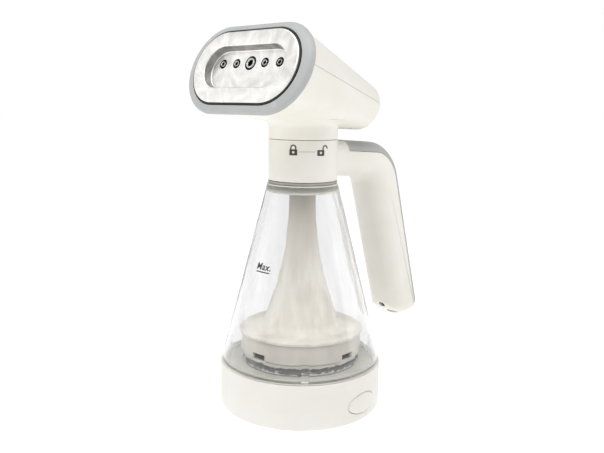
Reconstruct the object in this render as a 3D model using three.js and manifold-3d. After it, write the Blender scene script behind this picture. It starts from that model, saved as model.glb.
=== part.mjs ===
// A handheld garment steamer standing on its base, in millimetres, +Z up.
// The origin is the centre of the base's underside. The steam plate faces -Y and the handle is at +Y.
import * as THREE from "three";
import { mergeVertices } from "three/addons/utils/BufferGeometryUtils.js";
import Module from "manifold-3d";

const wasm = await Module();
wasm.setup();

// ---------- driving dimensions ----------
const gap = 0.3; // clearance between separate pieces
const wall = 2.2; // wall of the moulded shells
const deg = Math.PI / 180;

const baseRadius = 54;
const baseHeight = 30.5;
const padHeight = 2; // rubber foot pad
const cupLift = 0.4; // the cup stands clear of the ground on its pad
const deckThickness = 2;
const floorThickness = 1.7; // bottom of the base cup

const tankHeight = 118.5; // from the base's rim to the shoulder
const tankTopRadius = 23.4;
const tankWall = 2.5;
const neckRadius = 17.5;
const neckHeight = 12.5;
const spigotDepth = 8.5; // the tank's foot inside the base cup

const coneTopRadius = 8.6;
const coneFlangeRadius = 41;
const coneWall = 1.6;
const gasketHeight = 7.4;
const supportHeight = 12.6; // pale ring under the cone's flange

const collarRadius = 22.5;
const collarHeight = 28.4;
const sealHeight = 1.6;

const headWidth = 97.2; // housing behind the bezel
const headHeight = 55.4;
const headRearWidth = 58;
const headRearHeight = 30.6;
const headLength = 96.7;
const seamRise = 2.6; // the shells meet this much above the centre line
const headEdge = 5.5; // rounding of the rear edge
const faceTilt = 21.5 * deg; // the plate looks up by this much
const headDrop = 12.7 * deg; // slope of the housing's centre line
const rearTilt = 13.7 * deg;
const faceY = -54.2; // centre of the plate
const faceRise = 43.6; // height of the plate's centre above the collar

const bezelWidth = 100.4;
const bezelHeight = 56;
const bezelDepth = 4.4;
const bezelSetback = 1.5; // how far the bezel's front lies behind the plate
const plateWidth = 84.8;
const plateHeight = 44.9;
const pocketHeight = 26.2;
const pocketDepth = 5.5;
const nozzlePitch = 11.8;
const nozzleProud = 0.5; // above the floor of the pocket
const sinkDepth = 1.1; // of the round sink that each nozzle stands in
const sinkMargin = 1;
const nozzleRadius = 2;
const mainNozzleRadius = 3.4;
const nozzleRise = 4.2; // nozzles above the middle of the pocket

const gripTilt = 18 * deg;
const gripWidth = 30;
const gripDepth = 31.8;
const gripOuterY = 109.9; // outer face of the grip at gripRefZ
const gripRefZ = 100;
const gripBottomZ = 37.8;
const armTopDrop = 4 * deg;
const armBottomDrop = 4.5 * deg;
const armDepth = 25;
const outerBend = 34;
const innerBend = 10;
const outerEdge = 8.5; // edge rounding on the back of the handle
const innerEdge = 13.5; // edge rounding on the finger side
const stripWrap = 7; // how far the cover strip wraps down the sides
const stripStartY = 30.5;
const tongueWidth = 19;

const buttonTravel = 2.5; // base release buttons
const steamTravel = 1.5; // steam button
const screwRadius = 1.2;
const hoseRadius = 2.5;

// ---------- heights that follow ----------
const cupFloor = padHeight + gap;
const deckTop = baseHeight - gap;
const deckBottom = deckTop - deckThickness;
const tankBaseRadius = baseRadius - 0.4;
const shoulderZ = baseHeight + tankHeight;
const supportZ = deckTop + gasketHeight + gap;
const flangeZ = supportZ + supportHeight + gap;
const sealZ = shoulderZ + gap;
const collarZ = sealZ + sealHeight + gap;
const collarTopZ = collarZ + collarHeight - sealHeight - 2 * gap;
const faceZ = collarTopZ + faceRise;
const armTopZ = collarTopZ - 0.5;
const flangeLowZ = collarTopZ - 4.6; // ledge in the collar that the neck stands on
const flangeTopZ = flangeLowZ + 2;
const collarWall = 1.8;
const collarBore = collarRadius - collarWall;
const neckTopZ = shoulderZ + neckHeight;

// ---------- helpers ----------
const plastic = (color, roughness = 0.45) =>
  new THREE.MeshStandardMaterial({ color, roughness, metalness: 0 });
const metal = (color, roughness = 0.3) =>
  new THREE.MeshStandardMaterial({ color, roughness, metalness: 1 });

// A closed geometry as a solid, with its faces turned outwards.
function solid(geometry) {
  const bare = geometry.clone();
  bare.deleteAttribute("normal");
  bare.deleteAttribute("uv");
  const merged = mergeVertices(bare, 1e-4);
  const make = (triVerts) =>
    new wasm.Manifold(
      new wasm.Mesh({
        numProp: 3,
        vertProperties: merged.attributes.position.array,
        triVerts,
      }),
    );
  const triangles = new Uint32Array(merged.index.array);
  const made = make(triangles);
  return made.volume() > 0 ? made : make(triangles.reverse());
}

// A solid back as a geometry.
function geometryOf(body) {
  const mesh = body.getMesh();
  const points = new Float32Array(mesh.numVert * 3);
  for (let i = 0; i < mesh.numVert; i++) {
    const start = i * mesh.numProp;
    points.set(mesh.vertProperties.subarray(start, start + 3), i * 3);
  }
  const geometry = new THREE.BufferGeometry();
  geometry.setAttribute("position", new THREE.BufferAttribute(points, 3));
  geometry.setIndex(new THREE.BufferAttribute(mesh.triVerts, 1));
  geometry.computeVertexNormals();
  return geometry;
}

const join = (first, ...rest) => rest.reduce((sum, body) => sum.add(body), first);
const cut = (first, ...rest) => rest.reduce((left, body) => left.subtract(body), first);
const common = (first, second) => first.intersect(second);

// A solid placed by a matrix.
const placed = (geometry, matrix) => solid(geometry.clone().applyMatrix4(matrix));

// A turned geometry about +Z from [radius, height] pairs that close on themselves or on the axis.
function turned(profile, segments = 24) {
  const points = profile.map(([r, z]) => new THREE.Vector2(r, z));
  if (profile[0][0] > 0) points.push(points[0].clone());
  const geometry = new THREE.LatheGeometry(points, segments, Math.PI / segments);
  return geometry.rotateX(Math.PI / 2);
}

const turnedSolid = (profile, segments) => solid(turned(profile, segments));

// A tube or ring about +Z.
function ring(outer, inner, low, high, segments = 28) {
  return turnedSolid([[inner, low], [outer, low], [outer, high], [inner, high]], segments);
}

// A plain cylinder about +Z.
function rod(radius, low, high, segments = 16) {
  return turnedSolid([[0, low], [radius, low], [radius, high], [0, high]], segments);
}

// A box from its lowest to its highest corner.
function block(low, high) {
  const size = high.map((value, i) => value - low[i]);
  const middle = high.map((value, i) => (value + low[i]) / 2);
  return solid(new THREE.BoxGeometry(...size).translate(...middle));
}

// Points of a quarter round from one angle to another.
function arc(centreR, centreZ, radius, from, to, steps = 4) {
  const points = [];
  for (let i = 0; i <= steps; i++) {
    const angle = from + ((to - from) * i) / steps;
    points.push([centreR + radius * Math.cos(angle), centreZ + radius * Math.sin(angle)]);
  }
  return points;
}

// A screw about +Z with its head at the low end.
function screw(low, length, headRadius = 2.4, headDepth = 1.5) {
  const shaft = [screwRadius, low + headDepth];
  const tip = [screwRadius, low + length - 1];
  return turned(
    [[0, low], [headRadius, low], [headRadius, low + headDepth], shaft, tip, [0, low + length]],
    8,
  );
}

// A coil spring along +Z whose ends are closed by the section.
function coil(radius, wire, length, turns) {
  class Helix extends THREE.Curve {
    getPoint(t, target = new THREE.Vector3()) {
      const angle = t * turns * 2 * Math.PI;
      const height = wire + t * (length - 2 * wire);
      return target.set(radius * Math.cos(angle), radius * Math.sin(angle), height);
    }
  }
  const section = new THREE.Shape().absarc(0, 0, wire, 0, 2 * Math.PI);
  return new THREE.ExtrudeGeometry(section, {
    steps: turns * 7,
    curveSegments: 2,
    extrudePath: new Helix(),
  });
}

// A round tube or rod along a smooth curve through points.
function along(points, radius, steps) {
  const path = new THREE.CatmullRomCurve3(points.map((p) => new THREE.Vector3(...p)));
  const section = new THREE.Shape().absarc(0, 0, radius, 0, 2 * Math.PI);
  return new THREE.ExtrudeGeometry(section, { steps, curveSegments: 3, extrudePath: path });
}

// An outline with rounded corners from { at: Vector2, round } entries.
function roundedOutline(corners) {
  const shape = new THREE.Shape();
  corners.forEach(({ at, round }, i) => {
    const before = corners.at(i - 1).at.clone().sub(at).normalize();
    const after = corners[(i + 1) % corners.length].at.clone().sub(at).normalize();
    if (!round) {
      if (i) shape.lineTo(at.x, at.y);
      else shape.moveTo(at.x, at.y);
      return;
    }
    const half = Math.acos(before.dot(after)) / 2;
    const reach = round / Math.tan(half);
    const start = at.clone().addScaledVector(before, reach);
    const end = at.clone().addScaledVector(after, reach);
    const middle = before.clone().add(after).normalize();
    const centre = at.clone().addScaledVector(middle, round / Math.sin(half));
    const angleOf = (point) => Math.atan2(point.y - centre.y, point.x - centre.x);
    if (i) shape.lineTo(start.x, start.y);
    else shape.moveTo(start.x, start.y);
    const clockwise = before.cross(after) > 0;
    shape.absarc(centre.x, centre.y, round, angleOf(start), angleOf(end), clockwise);
  });
  return shape;
}

// A side-view outline (y, z) made into a solid across X, with its edges rounded by bevel.
function acrossX(shape, width, bevel = 0, curveSegments = 4) {
  const geometry = new THREE.ExtrudeGeometry(shape, {
    depth: width - 2 * bevel,
    bevelEnabled: bevel > 0,
    bevelThickness: bevel,
    bevelSize: bevel,
    bevelOffset: -bevel,
    bevelSegments: 3,
    curveSegments,
  });
  geometry.translate(0, 0, bevel - width / 2);
  const toSide = new THREE.Matrix4().makeBasis(
    new THREE.Vector3(0, 1, 0),
    new THREE.Vector3(0, 0, 1),
    new THREE.Vector3(1, 0, 0),
  );
  return solid(geometry.applyMatrix4(toSide));
}

// ---------- the object and its named nodes ----------
const steamer = new THREE.Group();

function node(name, body, material, parent = steamer) {
  const geometry = body instanceof THREE.BufferGeometry ? body : geometryOf(body);
  const mesh = new THREE.Mesh(geometry, material);
  mesh.name = name;
  parent.add(mesh);
  return mesh;
}

const ivory = () => plastic(0xebe9e0, 0.4);
const paleGrey = () => plastic(0xc9c8c2, 0.5);
const midGrey = () => plastic(0xa9aaa8, 0.45);
const darkRubber = () => plastic(0x4b4b49, 0.8);
const innerBlack = () => plastic(0x2b2b2b, 0.6);
const steel = () => metal(0xb9bbbd, 0.35);

// ---------- base ----------
const buttonHalfWidth = 12.6;
const buttonHalfHeight = 6.4;
const buttonZ = 12.1;
const cupInner = baseRadius - 2.4;
const postRadius = 30;
const floorTop = cupFloor + floorThickness;
const postZ = floorTop + 1.5;

// An ellipse across the release direction, as a solid between two distances from the centre.
function ellipseSolid(halfWidth, halfHeight, near, far, bevel = 0) {
  const shape = new THREE.Shape().absellipse(0, buttonZ, halfWidth, halfHeight, 0, 2 * Math.PI);
  const geometry = new THREE.ExtrudeGeometry(shape, {
    depth: far - near - bevel,
    bevelEnabled: bevel > 0,
    bevelThickness: bevel,
    bevelSize: 2 * bevel,
    bevelOffset: -2 * bevel,
    bevelSegments: 3,
    curveSegments: 10,
  });
  const toSide = new THREE.Matrix4().makeBasis(
    new THREE.Vector3(0, 1, 0),
    new THREE.Vector3(0, 0, 1),
    new THREE.Vector3(1, 0, 0),
  );
  return solid(geometry.translate(0, 0, near).applyMatrix4(toSide));
}

const mirrored = (body) => body.mirror([1, 0, 0]);

function baseCup() {
  const rim = arc(baseRadius - 1.2, baseHeight - gap - 1.2, 1.2, 0, 90 * deg, 2);
  const foot = arc(baseRadius - 1.2, cupLift + 1.2, 1.2, -90 * deg, 0, 2);
  const padRecess = baseRadius - 7 + gap;
  const cup = turnedSolid(
    [
      [0, cupFloor], [padRecess, cupFloor], [padRecess, cupLift],
      ...foot, ...rim,
      [cupInner, baseHeight - gap], [cupInner, floorTop], [0, floorTop],
    ],
    40,
  );
  const hole = ellipseSolid(
    buttonHalfWidth + gap, buttonHalfHeight + gap, cupInner - 10, baseRadius + 6,
  );
  const bosses = fourPosts((x, y) => rod(4.2, 0, postZ - gap - cupFloor, 10).translate([x, y, cupFloor]));
  const screwHoles = fourPosts((x, y) => rod(screwRadius + gap, 0, 20, 8).translate([x, y, 0]));
  const sinks = fourPosts((x, y) => rod(3, 0, cupFloor + 2.2, 10).translate([x, y, 0]));
  const anchors = [1, -1].map((side) => springAnchor(side));
  return cut(join(cup, ...bosses, ...anchors), hole, mirrored(hole), ...screwHoles, ...sinks);
}

function fourPosts(make) {
  return [45, 135, 225, 315].map((angle) =>
    make(postRadius * Math.cos(angle * deg), postRadius * Math.sin(angle * deg)),
  );
}

// ---------- release buttons, one on each side ----------
const flangeThickness = 2.8;
const flangeOuter = baseRadius - 4.7; // clears the cup's curved wall
const latchThickness = 2.3;
const latchOuter = flangeOuter - flangeThickness - gap;
const latchInner = latchOuter - latchThickness;
const springLength = 9;
const anchorFace = latchInner - gap - springLength - gap;
const hookZ = deckBottom - 3.2;

function springAnchor(side) {
  const low = [anchorFace - 3, -5, cupFloor + 1];
  const high = [anchorFace, 5, buttonZ + 5];
  const body = block(low, high);
  return side > 0 ? body : mirrored(body);
}

function releaseButton() {
  const pushed = ellipseSolid(buttonHalfWidth, buttonHalfHeight, flangeOuter - 1, baseRadius + 1.6, 1.4);
  const face = common(pushed, rod(baseRadius + 1, 0, baseHeight, 60));
  const flange = ellipseSolid(
    buttonHalfWidth + 1.4, buttonHalfHeight + 1, flangeOuter - flangeThickness, flangeOuter,
  );
  return join(face, flange);
}

function latchHook() {
  const plate = block([latchInner, -8, floorTop + 1], [latchOuter, 8, hookZ + 2]);
  // The lip reaches past the spigot by half of the button's travel, so a full press frees it.
  const reach = spigotInner + buttonTravel / 2;
  const lip = block([latchOuter - 1, -8, hookZ], [reach, 8, hookZ + 2]);
  return join(plate, lip);
}

function pair(name, body, material) {
  node(name + "_right", body, material());
  node(name + "_left", mirrored(body), material());
}

function releaseSpring() {
  const geometry = coil(3, 0.5, springLength, 5).rotateY(Math.PI / 2);
  return solid(geometry.translate(anchorFace + gap, 0, buttonZ));
}

// ---------- deck, gasket, support ring and cone ----------
const spigotOuter = cupInner - 0.4;
const spigotInner = spigotOuter - 2.2;

function deck() {
  const radius = spigotInner - gap;
  const plate = rod(radius, deckBottom, deckTop, 40);
  const posts = fourPosts((x, y) => rod(4, 0, deckBottom - postZ + 0.5, 10).translate([x, y, postZ]));
  const pilots = fourPosts((x, y) =>
    rod(screwRadius + gap, -1, 12, 8).translate([x, y, postZ]),
  );
  return cut(join(plate, ...posts), ...pilots);
}

function supportRing() {
  const radius = coneFlangeRadius - 1;
  const body = ring(radius, radius - 2, supportZ, supportZ + supportHeight, 36);
  const notches = [0, 90].map((angle) =>
    block([-5, -60, supportZ - 1], [5, 60, supportZ + 4]).rotate([0, 0, angle]),
  );
  return cut(body, ...notches);
}

// The cone's outside: a trumpet that swells from a straight tube to the wide flange.
function coneRadiusAt(share) {
  const bell = (coneFlangeRadius * 0.6 - coneTopRadius) * Math.pow(share, 2.2);
  return coneTopRadius + bell;
}

function innerCone() {
  const topZ = shoulderZ - 5;
  const bellZ = flangeZ + 8;
  const steps = 7;
  const outside = [];
  for (let i = 0; i <= steps; i++) {
    const share = i / steps;
    outside.push([coneRadiusAt(share), topZ - (topZ - bellZ) * share]);
  }
  const last = outside.at(-1)[0];
  const sweep = arc(last + 8, flangeZ + 8 + coneWall, 8, 180 * deg, 262 * deg, 3).slice(1);
  const upper = [...outside, ...sweep, [coneFlangeRadius, flangeZ + coneWall]];
  const lower = upper.map(([r, z]) => [r - coneWall, z - (r > last ? coneWall : 0)]);
  const under = lower.slice(0, -1).reverse();
  return turnedSolid([...upper, [coneFlangeRadius, flangeZ], ...under], 28);
}

// ---------- tank ----------
const lugTop = neckTopZ - 4;
const lugBottom = lugTop - 3;
const bayonetLedge = 3;

function tankShell() {
  const z0 = baseHeight;
  const shell = turnedSolid(
    [
      [spigotOuter, z0 - spigotDepth], [spigotOuter, z0], [tankBaseRadius, z0],
      [tankTopRadius, shoulderZ - 1], [tankTopRadius - 1, shoulderZ],
      [neckRadius, shoulderZ], [neckRadius, neckTopZ],
      [neckRadius - tankWall, neckTopZ], [neckRadius - tankWall, shoulderZ - tankWall],
      [tankTopRadius - tankWall, shoulderZ - 2 * tankWall],
      [tankBaseRadius - tankWall, z0 + 2], [spigotInner, z0], [spigotInner, z0 - spigotDepth],
    ],
    40,
  );
  const windows = block([0, -9, hookZ - 0.4], [cupInner, 9, hookZ + 2.4]);
  const lugs = threeAround(12, neckRadius - 0.5, neckRadius + 1.7, lugBottom, lugTop);
  return cut(join(shell, ...tankRibs(), ...lugs), windows, mirrored(windows));
}

// Small uprights inside the tank's foot, trimmed to the tank's outside.
function tankRibs() {
  const height = 17;
  const halfWidth = 2.3;
  const envelope = turnedSolid(
    [[0, baseHeight], [tankBaseRadius - 0.5, baseHeight], [tankTopRadius - 0.5, shoulderZ], [0, shoulderZ]],
    40,
  );
  return [45, 135, 225, 315].map((angle) => {
    const shape = new THREE.Shape();
    shape.moveTo(-halfWidth, baseHeight + 0.2);
    shape.lineTo(halfWidth, baseHeight + 0.2);
    shape.absarc(0, baseHeight + height - halfWidth, halfWidth, 0, Math.PI);
    const geometry = new THREE.ExtrudeGeometry(shape, {
      depth: 8, bevelEnabled: false, curveSegments: 5,
    });
    geometry.rotateX(Math.PI / 2);
    geometry.translate(0, -(tankBaseRadius - 6.5), 0);
    return common(solid(geometry).rotate([0, 0, angle]), envelope);
  });
}

// Three ring sectors spaced evenly, each spanning twice the given half angle.
function threeAround(halfAngle, inner, outer, low, high, turn = 0) {
  return [0, 120, 240].map((angle) => {
    const shape = new THREE.Shape();
    const middle = (angle + turn) * deg;
    const half = halfAngle * deg;
    shape.absarc(0, 0, outer, middle - half, middle + half, false);
    shape.absarc(0, 0, inner, middle + half, middle - half, true);
    const options = { depth: high - low, bevelEnabled: false, curveSegments: 3 };
    return solid(new THREE.ExtrudeGeometry(shape, options).translate(0, 0, low));
  });
}

function bayonetRing() {
  const outer = collarBore - gap;
  const inner = neckRadius + 1.7 + 0.4;
  const low = lugBottom - gap - bayonetLedge;
  const body = ring(outer, inner, low, lugTop + gap, 36);
  const ledges = threeAround(28, neckRadius + gap, inner + 0.2, low, low + bayonetLedge);
  return join(body, ...ledges);
}

// ---------- handle ----------
// Lines of the side view as a point and a direction; inset moves them into the material.
function handleLines(inset) {
  const line = (y, z, angle) => {
    const direction = new THREE.Vector2(Math.cos(angle), Math.sin(angle));
    const inward = new THREE.Vector2(direction.y, -direction.x);
    return { at: new THREE.Vector2(y, z).addScaledVector(inward, inset), direction };
  };
  const acrossGrip = gripDepth / Math.cos(gripTilt);
  return {
    top: line(collarRadius, armTopZ, -armTopDrop),
    outer: line(gripOuterY, gripRefZ, -90 * deg + gripTilt),
    bottom: line(gripOuterY, gripBottomZ, 180 * deg),
    inner: line(gripOuterY - acrossGrip, gripRefZ, 90 * deg + gripTilt),
    under: line(collarRadius, armTopZ - armDepth, 180 * deg - armBottomDrop),
  };
}

function meet(a, b) {
  const between = b.at.clone().sub(a.at);
  const share = between.cross(b.direction) / a.direction.cross(b.direction);
  return a.at.clone().addScaledVector(a.direction, share);
}

const atY = (line, y) =>
  line.at.clone().addScaledVector(line.direction, (y - line.at.x) / line.direction.x);

// The handle's outside (inset 0) or its hollow: a back with one edge rounding and a finger side
// with a rounder one, each carried past the other and then intersected.
function handleSolid(inset) {
  const { top, outer, bottom, inner, under } = handleLines(inset);
  const width = gripWidth - 2 * inset;
  const past = 40;
  const far = (point, y, z) => point.clone().add(new THREE.Vector2(y, z));
  const back = roundedOutline([
    { at: atY(top, 0) },
    { at: meet(top, outer), round: outerBend - inset },
    { at: meet(outer, bottom), round: outerEdge + 0.8 - inset },
    { at: meet(bottom, inner), round: 0.72 * gripDepth - inset },
    { at: far(meet(inner, under), -4, 0) },
    { at: far(atY(under, 0), 0, -past) },
  ]);
  const front = roundedOutline([
    { at: far(atY(top, 0), 0, past) },
    { at: far(meet(top, outer), past, past) },
    { at: far(meet(outer, bottom), past, -past) },
    { at: atY(inner, meet(bottom, inner).x + 0.4 * past) },
    { at: meet(inner, under), round: innerBend + inset },
    { at: atY(under, 0) },
  ]);
  return common(
    acrossX(back, width, outerEdge - inset),
    acrossX(front, width, innerEdge - inset),
  );
}

// The zone of the cover strip: everything outside a line that runs stripWrap below the back.
function stripZone(grow) {
  const { top, outer, bottom } = handleLines(stripWrap + grow);
  const past = 30;
  const beyond = handleLines(-past);
  const shape = roundedOutline([
    { at: atY(top, 0) },
    { at: meet(top, outer), round: outerBend - stripWrap - grow },
    { at: meet(outer, beyond.bottom) },
    { at: meet(beyond.outer, beyond.bottom) },
    { at: meet(beyond.top, beyond.outer) },
    { at: atY(beyond.top, 0) },
  ]);
  const zone = acrossX(shape, 2 * gripWidth);
  const side = tongueWidth / 2 + grow;
  const shoulder = stripStartY - grow;
  const right = block([side, -1, bottom.at.y], [2 * gripWidth, shoulder, armTopZ + past]);
  return cut(zone, right, mirrored(right));
}

// Places in the grip's own frame: y out of the back of the grip, z along it, x across.
const gripFrame = new THREE.Matrix4()
  .makeRotationX(gripTilt)
  .setPosition(0, gripOuterY, gripRefZ);
const inGrip = (geometry) => placed(geometry, gripFrame);
const gripBlock = (low, high) => {
  const size = high.map((value, i) => value - low[i]);
  const middle = high.map((value, i) => (value + low[i]) / 2);
  return inGrip(new THREE.BoxGeometry(...size).translate(...middle));
};
// A rod in the grip frame along its y, which points out of the back.
function gripPin(radius, low, high, z, segments = 16) {
  const profile = [[0, low], [radius, low], [radius, high], [0, high]];
  return inGrip(turned(profile, segments).rotateX(-Math.PI / 2).translate(0, 0, z));
}

const hoseZ = armTopZ - 7.9; // where the hoses leave the collar
const gripScrewZ = -47.4; // from the grip's reference point, along the grip
const gripScrewSeat = -gripDepth + 6;
const steamButtonZ = [20, 40];
const boardY = -0.535 * gripDepth; // middle of the control board, from the back of the grip
const boardThickness = 1.6;
const hoseY = (boardY - boardThickness / 2 - gripDepth + wall) / 2; // between the board and the inner wall
const gripBottomY = gripOuterY + (gripRefZ - gripBottomZ) * Math.tan(gripTilt);
const glandY = gripBottomY - gripDepth / Math.cos(gripTilt) / 2 + 1;

function collarTube() {
  return ring(collarRadius, collarBore, collarZ, collarTopZ, 36);
}

function steamButtonShape(grow, low, high) {
  const [bottom, top] = steamButtonZ;
  const radius = 6 + grow;
  const shape = new THREE.Shape();
  shape.absarc(0, top - 6, radius, 0, Math.PI);
  shape.absarc(0, bottom + 6, radius, Math.PI, 2 * Math.PI);
  const geometry = new THREE.ExtrudeGeometry(shape, {
    depth: high - low, bevelEnabled: false, curveSegments: 8,
  });
  // The shape's y runs along the grip and the extrusion along the grip's outward y.
  const toGrip = new THREE.Matrix4().makeBasis(
    new THREE.Vector3(-1, 0, 0),
    new THREE.Vector3(0, 0, 1),
    new THREE.Vector3(0, 1, 0),
  );
  return inGrip(geometry.translate(0, 0, low).applyMatrix4(toGrip));
}

const lensZ = 50;

function handleParts() {
  const outside = handleSolid(0);
  const hollow = cut(handleSolid(wall), rod(collarRadius + 0.1, collarZ - 50, collarTopZ + 25, 36));
  const passage = block([-9, 10, hoseZ - 3.4], [9, 30, hoseZ + 3.4]);
  const collarRoom = rod(collarBore, collarZ - 10, collarTopZ + 10, 36);
  const nearRoom = rod(collarRadius + gap, collarZ - 20, collarTopZ + 20, 36);

  const flange = ring(collarBore + 0.2, 14.5, flangeLowZ, flangeTopZ, 36);
  const seat = gripPin(4.6, -gripDepth + 1, gripScrewSeat + wall, gripScrewZ);
  const recess = gripPin(2.7, -gripDepth - 10, gripScrewSeat, gripScrewZ);
  const screwWay = gripPin(screwRadius + gap, -gripDepth, -5, gripScrewZ, 12);
  const glandHole = rod(4.8 + gap, gripBottomZ - 5, gripBottomZ + 8, 18).translate([0, glandY, 0]);
  const insideShell = cut(cut(outside, stripZone(gap)), hollow, collarRoom);
  const neckHoles = threeScrews((x, y) =>
    rod(screwRadius + gap, flangeLowZ - 5, flangeTopZ + 5, 8).translate([x, y, 0]),
  );
  const inner = cut(
    join(collarTube(), insideShell, flange, common(seat, outside)),
    passage, recess, screwWay, glandHole, ...neckHoles,
  );

  const boss = common(gripPin(3.4, gripScrewSeat + wall + gap, -1, gripScrewZ), outside);
  const buttonHole = steamButtonShape(gap, -10, 5);
  const lensHole = gripPin(1.8 + gap, -8, 8, lensZ, 12);
  const cover = cut(
    join(cut(common(outside, stripZone(0)), hollow, nearRoom), boss),
    buttonHole, lensHole, gripPin(screwRadius + gap, -gripDepth, -6, gripScrewZ, 12),
  );
  return { inner, cover };
}

function threeScrews(make) {
  return [90, 210, 330].map((angle) =>
    make(17.6 * Math.cos(angle * deg), 17.6 * Math.sin(angle * deg)),
  );
}

// ---------- head ----------
// Pushes every point of a turned shape sideways, so that circles become stadium shapes.
// The axis is Y, the height is Z, and flatAt gives half of the flat length.
function stadium(profile, flatAt, segments = 28) {
  const points = profile.map(([r, y]) => new THREE.Vector2(r, y));
  if (profile[0][0] > 0) points.push(points[0].clone());
  const geometry = new THREE.LatheGeometry(points, segments, Math.PI / segments);
  const place = geometry.attributes.position;
  for (let i = 0; i < place.count; i++) {
    const [x, y, z] = [place.getX(i), place.getY(i), place.getZ(i)];
    if (Math.abs(x) > 1e-6) place.setX(i, x + Math.sign(x) * flatAt(Math.hypot(x, z), y));
  }
  return geometry;
}

const headFrame = new THREE.Matrix4().makeRotationX(-faceTilt).setPosition(0, faceY, faceZ);
const housingStart = bezelSetback + bezelDepth; // behind the plate's face
const housingFront = new THREE.Vector3(0, housingStart, 0).applyMatrix4(headFrame);
const mix = (a, b, share) => a + (b - a) * share;

// The housing is a turned shape stretched to a stadium, then bent along the sloping centre line.
function housing(inset) {
  const start = inset ? -6 : gap;
  const end = headLength - inset;
  const halfHeight = (y) => mix(headHeight, headRearHeight, y / headLength) / 2 - inset;
  const halfWidth = (y) => mix(headWidth, headRearWidth, y / headLength) / 2 - inset;
  const edge = headEdge - inset / 2;
  const stations = [start, end * 0.5].map((y) => [halfHeight(y), y]);
  const rear = arc(halfHeight(end - edge) - edge, end - edge, edge, 0, 90 * deg, 3);
  const flat = (r, y) => halfWidth(y) - halfHeight(y);
  const geometry = stadium([[0, start], ...stations, ...rear, [0, end]], flat, 28);
  const place = geometry.attributes.position;
  for (let i = 0; i < place.count; i++) {
    const [y, z] = [place.getY(i), place.getZ(i)];
    const tilt = mix(faceTilt, rearTilt, y / headLength);
    const centreY = housingFront.y + y * Math.cos(headDrop);
    const centreZ = housingFront.z - y * Math.sin(headDrop);
    place.setY(i, centreY + z * Math.sin(tilt));
    place.setZ(i, centreZ + z * Math.cos(tilt));
  }
  return solid(geometry);
}

// The half of space above or below the head's seam, which follows the centre line.
function seamHalf(side, margin) {
  const { y, z } = housingFront;
  const matrix = new THREE.Matrix4().makeRotationX(-headDrop).setPosition(0, y, z);
  const geometry = new THREE.BoxGeometry(200, 300, 100);
  return placed(geometry.translate(0, 60, seamRise + side * (50 + margin)), matrix);
}

const headScrewX = 15;
const headScrewY = 28;

function headParts() {
  const shell = cut(housing(0), housing(wall));
  const neckLow = collarTopZ + gap;
  const flare = arc(collarRadius + 3.3, neckLow + 8.5, 3.3, 180 * deg, 90 * deg, 2);
  const neck = turnedSolid(
    [
      [collarBore, neckLow], [collarRadius, neckLow], ...flare,
      [collarRadius + 3.3, neckLow + 22], [collarBore, neckLow + 22],
    ],
    36,
  );
  const spigotTop = neckLow + 4;
  const spigot = ring(collarBore - gap, 15, flangeTopZ + gap, spigotTop, 36);
  const spigotWeb = ring(collarBore + 0.4, 15, neckLow + 1, spigotTop, 36);
  const room = rod(collarBore, neckLow + 4, faceZ + 40, 36);
  const pilots = threeScrews((x, y) =>
    rod(screwRadius + gap, collarTopZ - 8, collarTopZ + 3, 8).translate([x, y, 0]),
  );
  const bosses = [headScrewX, -headScrewX].map((x) =>
    common(rod(4.2, collarTopZ, headScrewTop + 40, 14).translate([x, headScrewY, 0]), housing(wall / 2)),
  );
  const screwWays = [headScrewX, -headScrewX].flatMap((x) => [
    rod(screwRadius + gap, collarTopZ, headScrewTop, 8).translate([x, headScrewY, 0]),
    rod(2.7, collarTopZ, headScrewSeat, 14).translate([x, headScrewY, 0]),
  ]);
  const lowerHalf = seamHalf(-1, 0);
  const upperHalf = seamHalf(1, gap);
  const neckOnly = cut(neck, housing(wall));
  const lower = cut(
    join(common(cut(shell, room), lowerHalf), common(neckOnly, lowerHalf), spigot, spigotWeb,
      ...bosses.map((boss) => common(boss, lowerHalf))),
    ...pilots, ...screwWays,
  );
  const upper = cut(join(common(shell, upperHalf), ...bosses.map((b) => common(b, upperHalf))), ...screwWays);
  return { lower, upper };
}

const headScrewSeat = collarTopZ + 14.5;
const headScrewTop = headScrewSeat + 16;

// ---------- face of the head, in the head's own frame: y runs back from the plate's face ----------
const plateFlat = (plateWidth - plateHeight) / 2;
const pocketFloorY = pocketDepth;
const nozzlePlaces = [-2, -1, 0, 1, 2].map((i) => i * nozzlePitch);
const isMain = (x) => x === 0;

const alongY = (radius, low, high, x, z, segments = 14) =>
  solid(turned([[0, low], [radius, low], [radius, high], [0, high]], segments)
    .rotateX(-Math.PI / 2)
    .translate(x, 0, z));

function steamPlate() {
  const outer = plateHeight / 2;
  const pocket = pocketHeight / 2;
  const body = solid(
    stadium(
      [
        [0, pocketFloorY], [pocket - 1.3, pocketFloorY], [pocket, 0.5], [pocket + 0.5, 0],
        [outer - 0.6, 0], [outer, 0.6], [outer, 3.5],
        [pocket + 2.5, 3.5], [pocket + 1.2, pocketFloorY + 2], [0, pocketFloorY + 2],
      ],
      () => plateFlat,
    ),
  );
  const holes = nozzlePlaces.map((x) => {
    const radius = (isMain(x) ? mainNozzleRadius : nozzleRadius) + gap;
    return alongY(radius, 0, 12, x, nozzleRise);
  });
  const sinks = nozzlePlaces.map((x) => {
    const radius = (isMain(x) ? mainNozzleRadius : nozzleRadius) + sinkMargin;
    return alongY(radius, 0, pocketFloorY + sinkDepth, x, nozzleRise);
  });
  return cut(body, ...holes, ...sinks);
}

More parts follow.
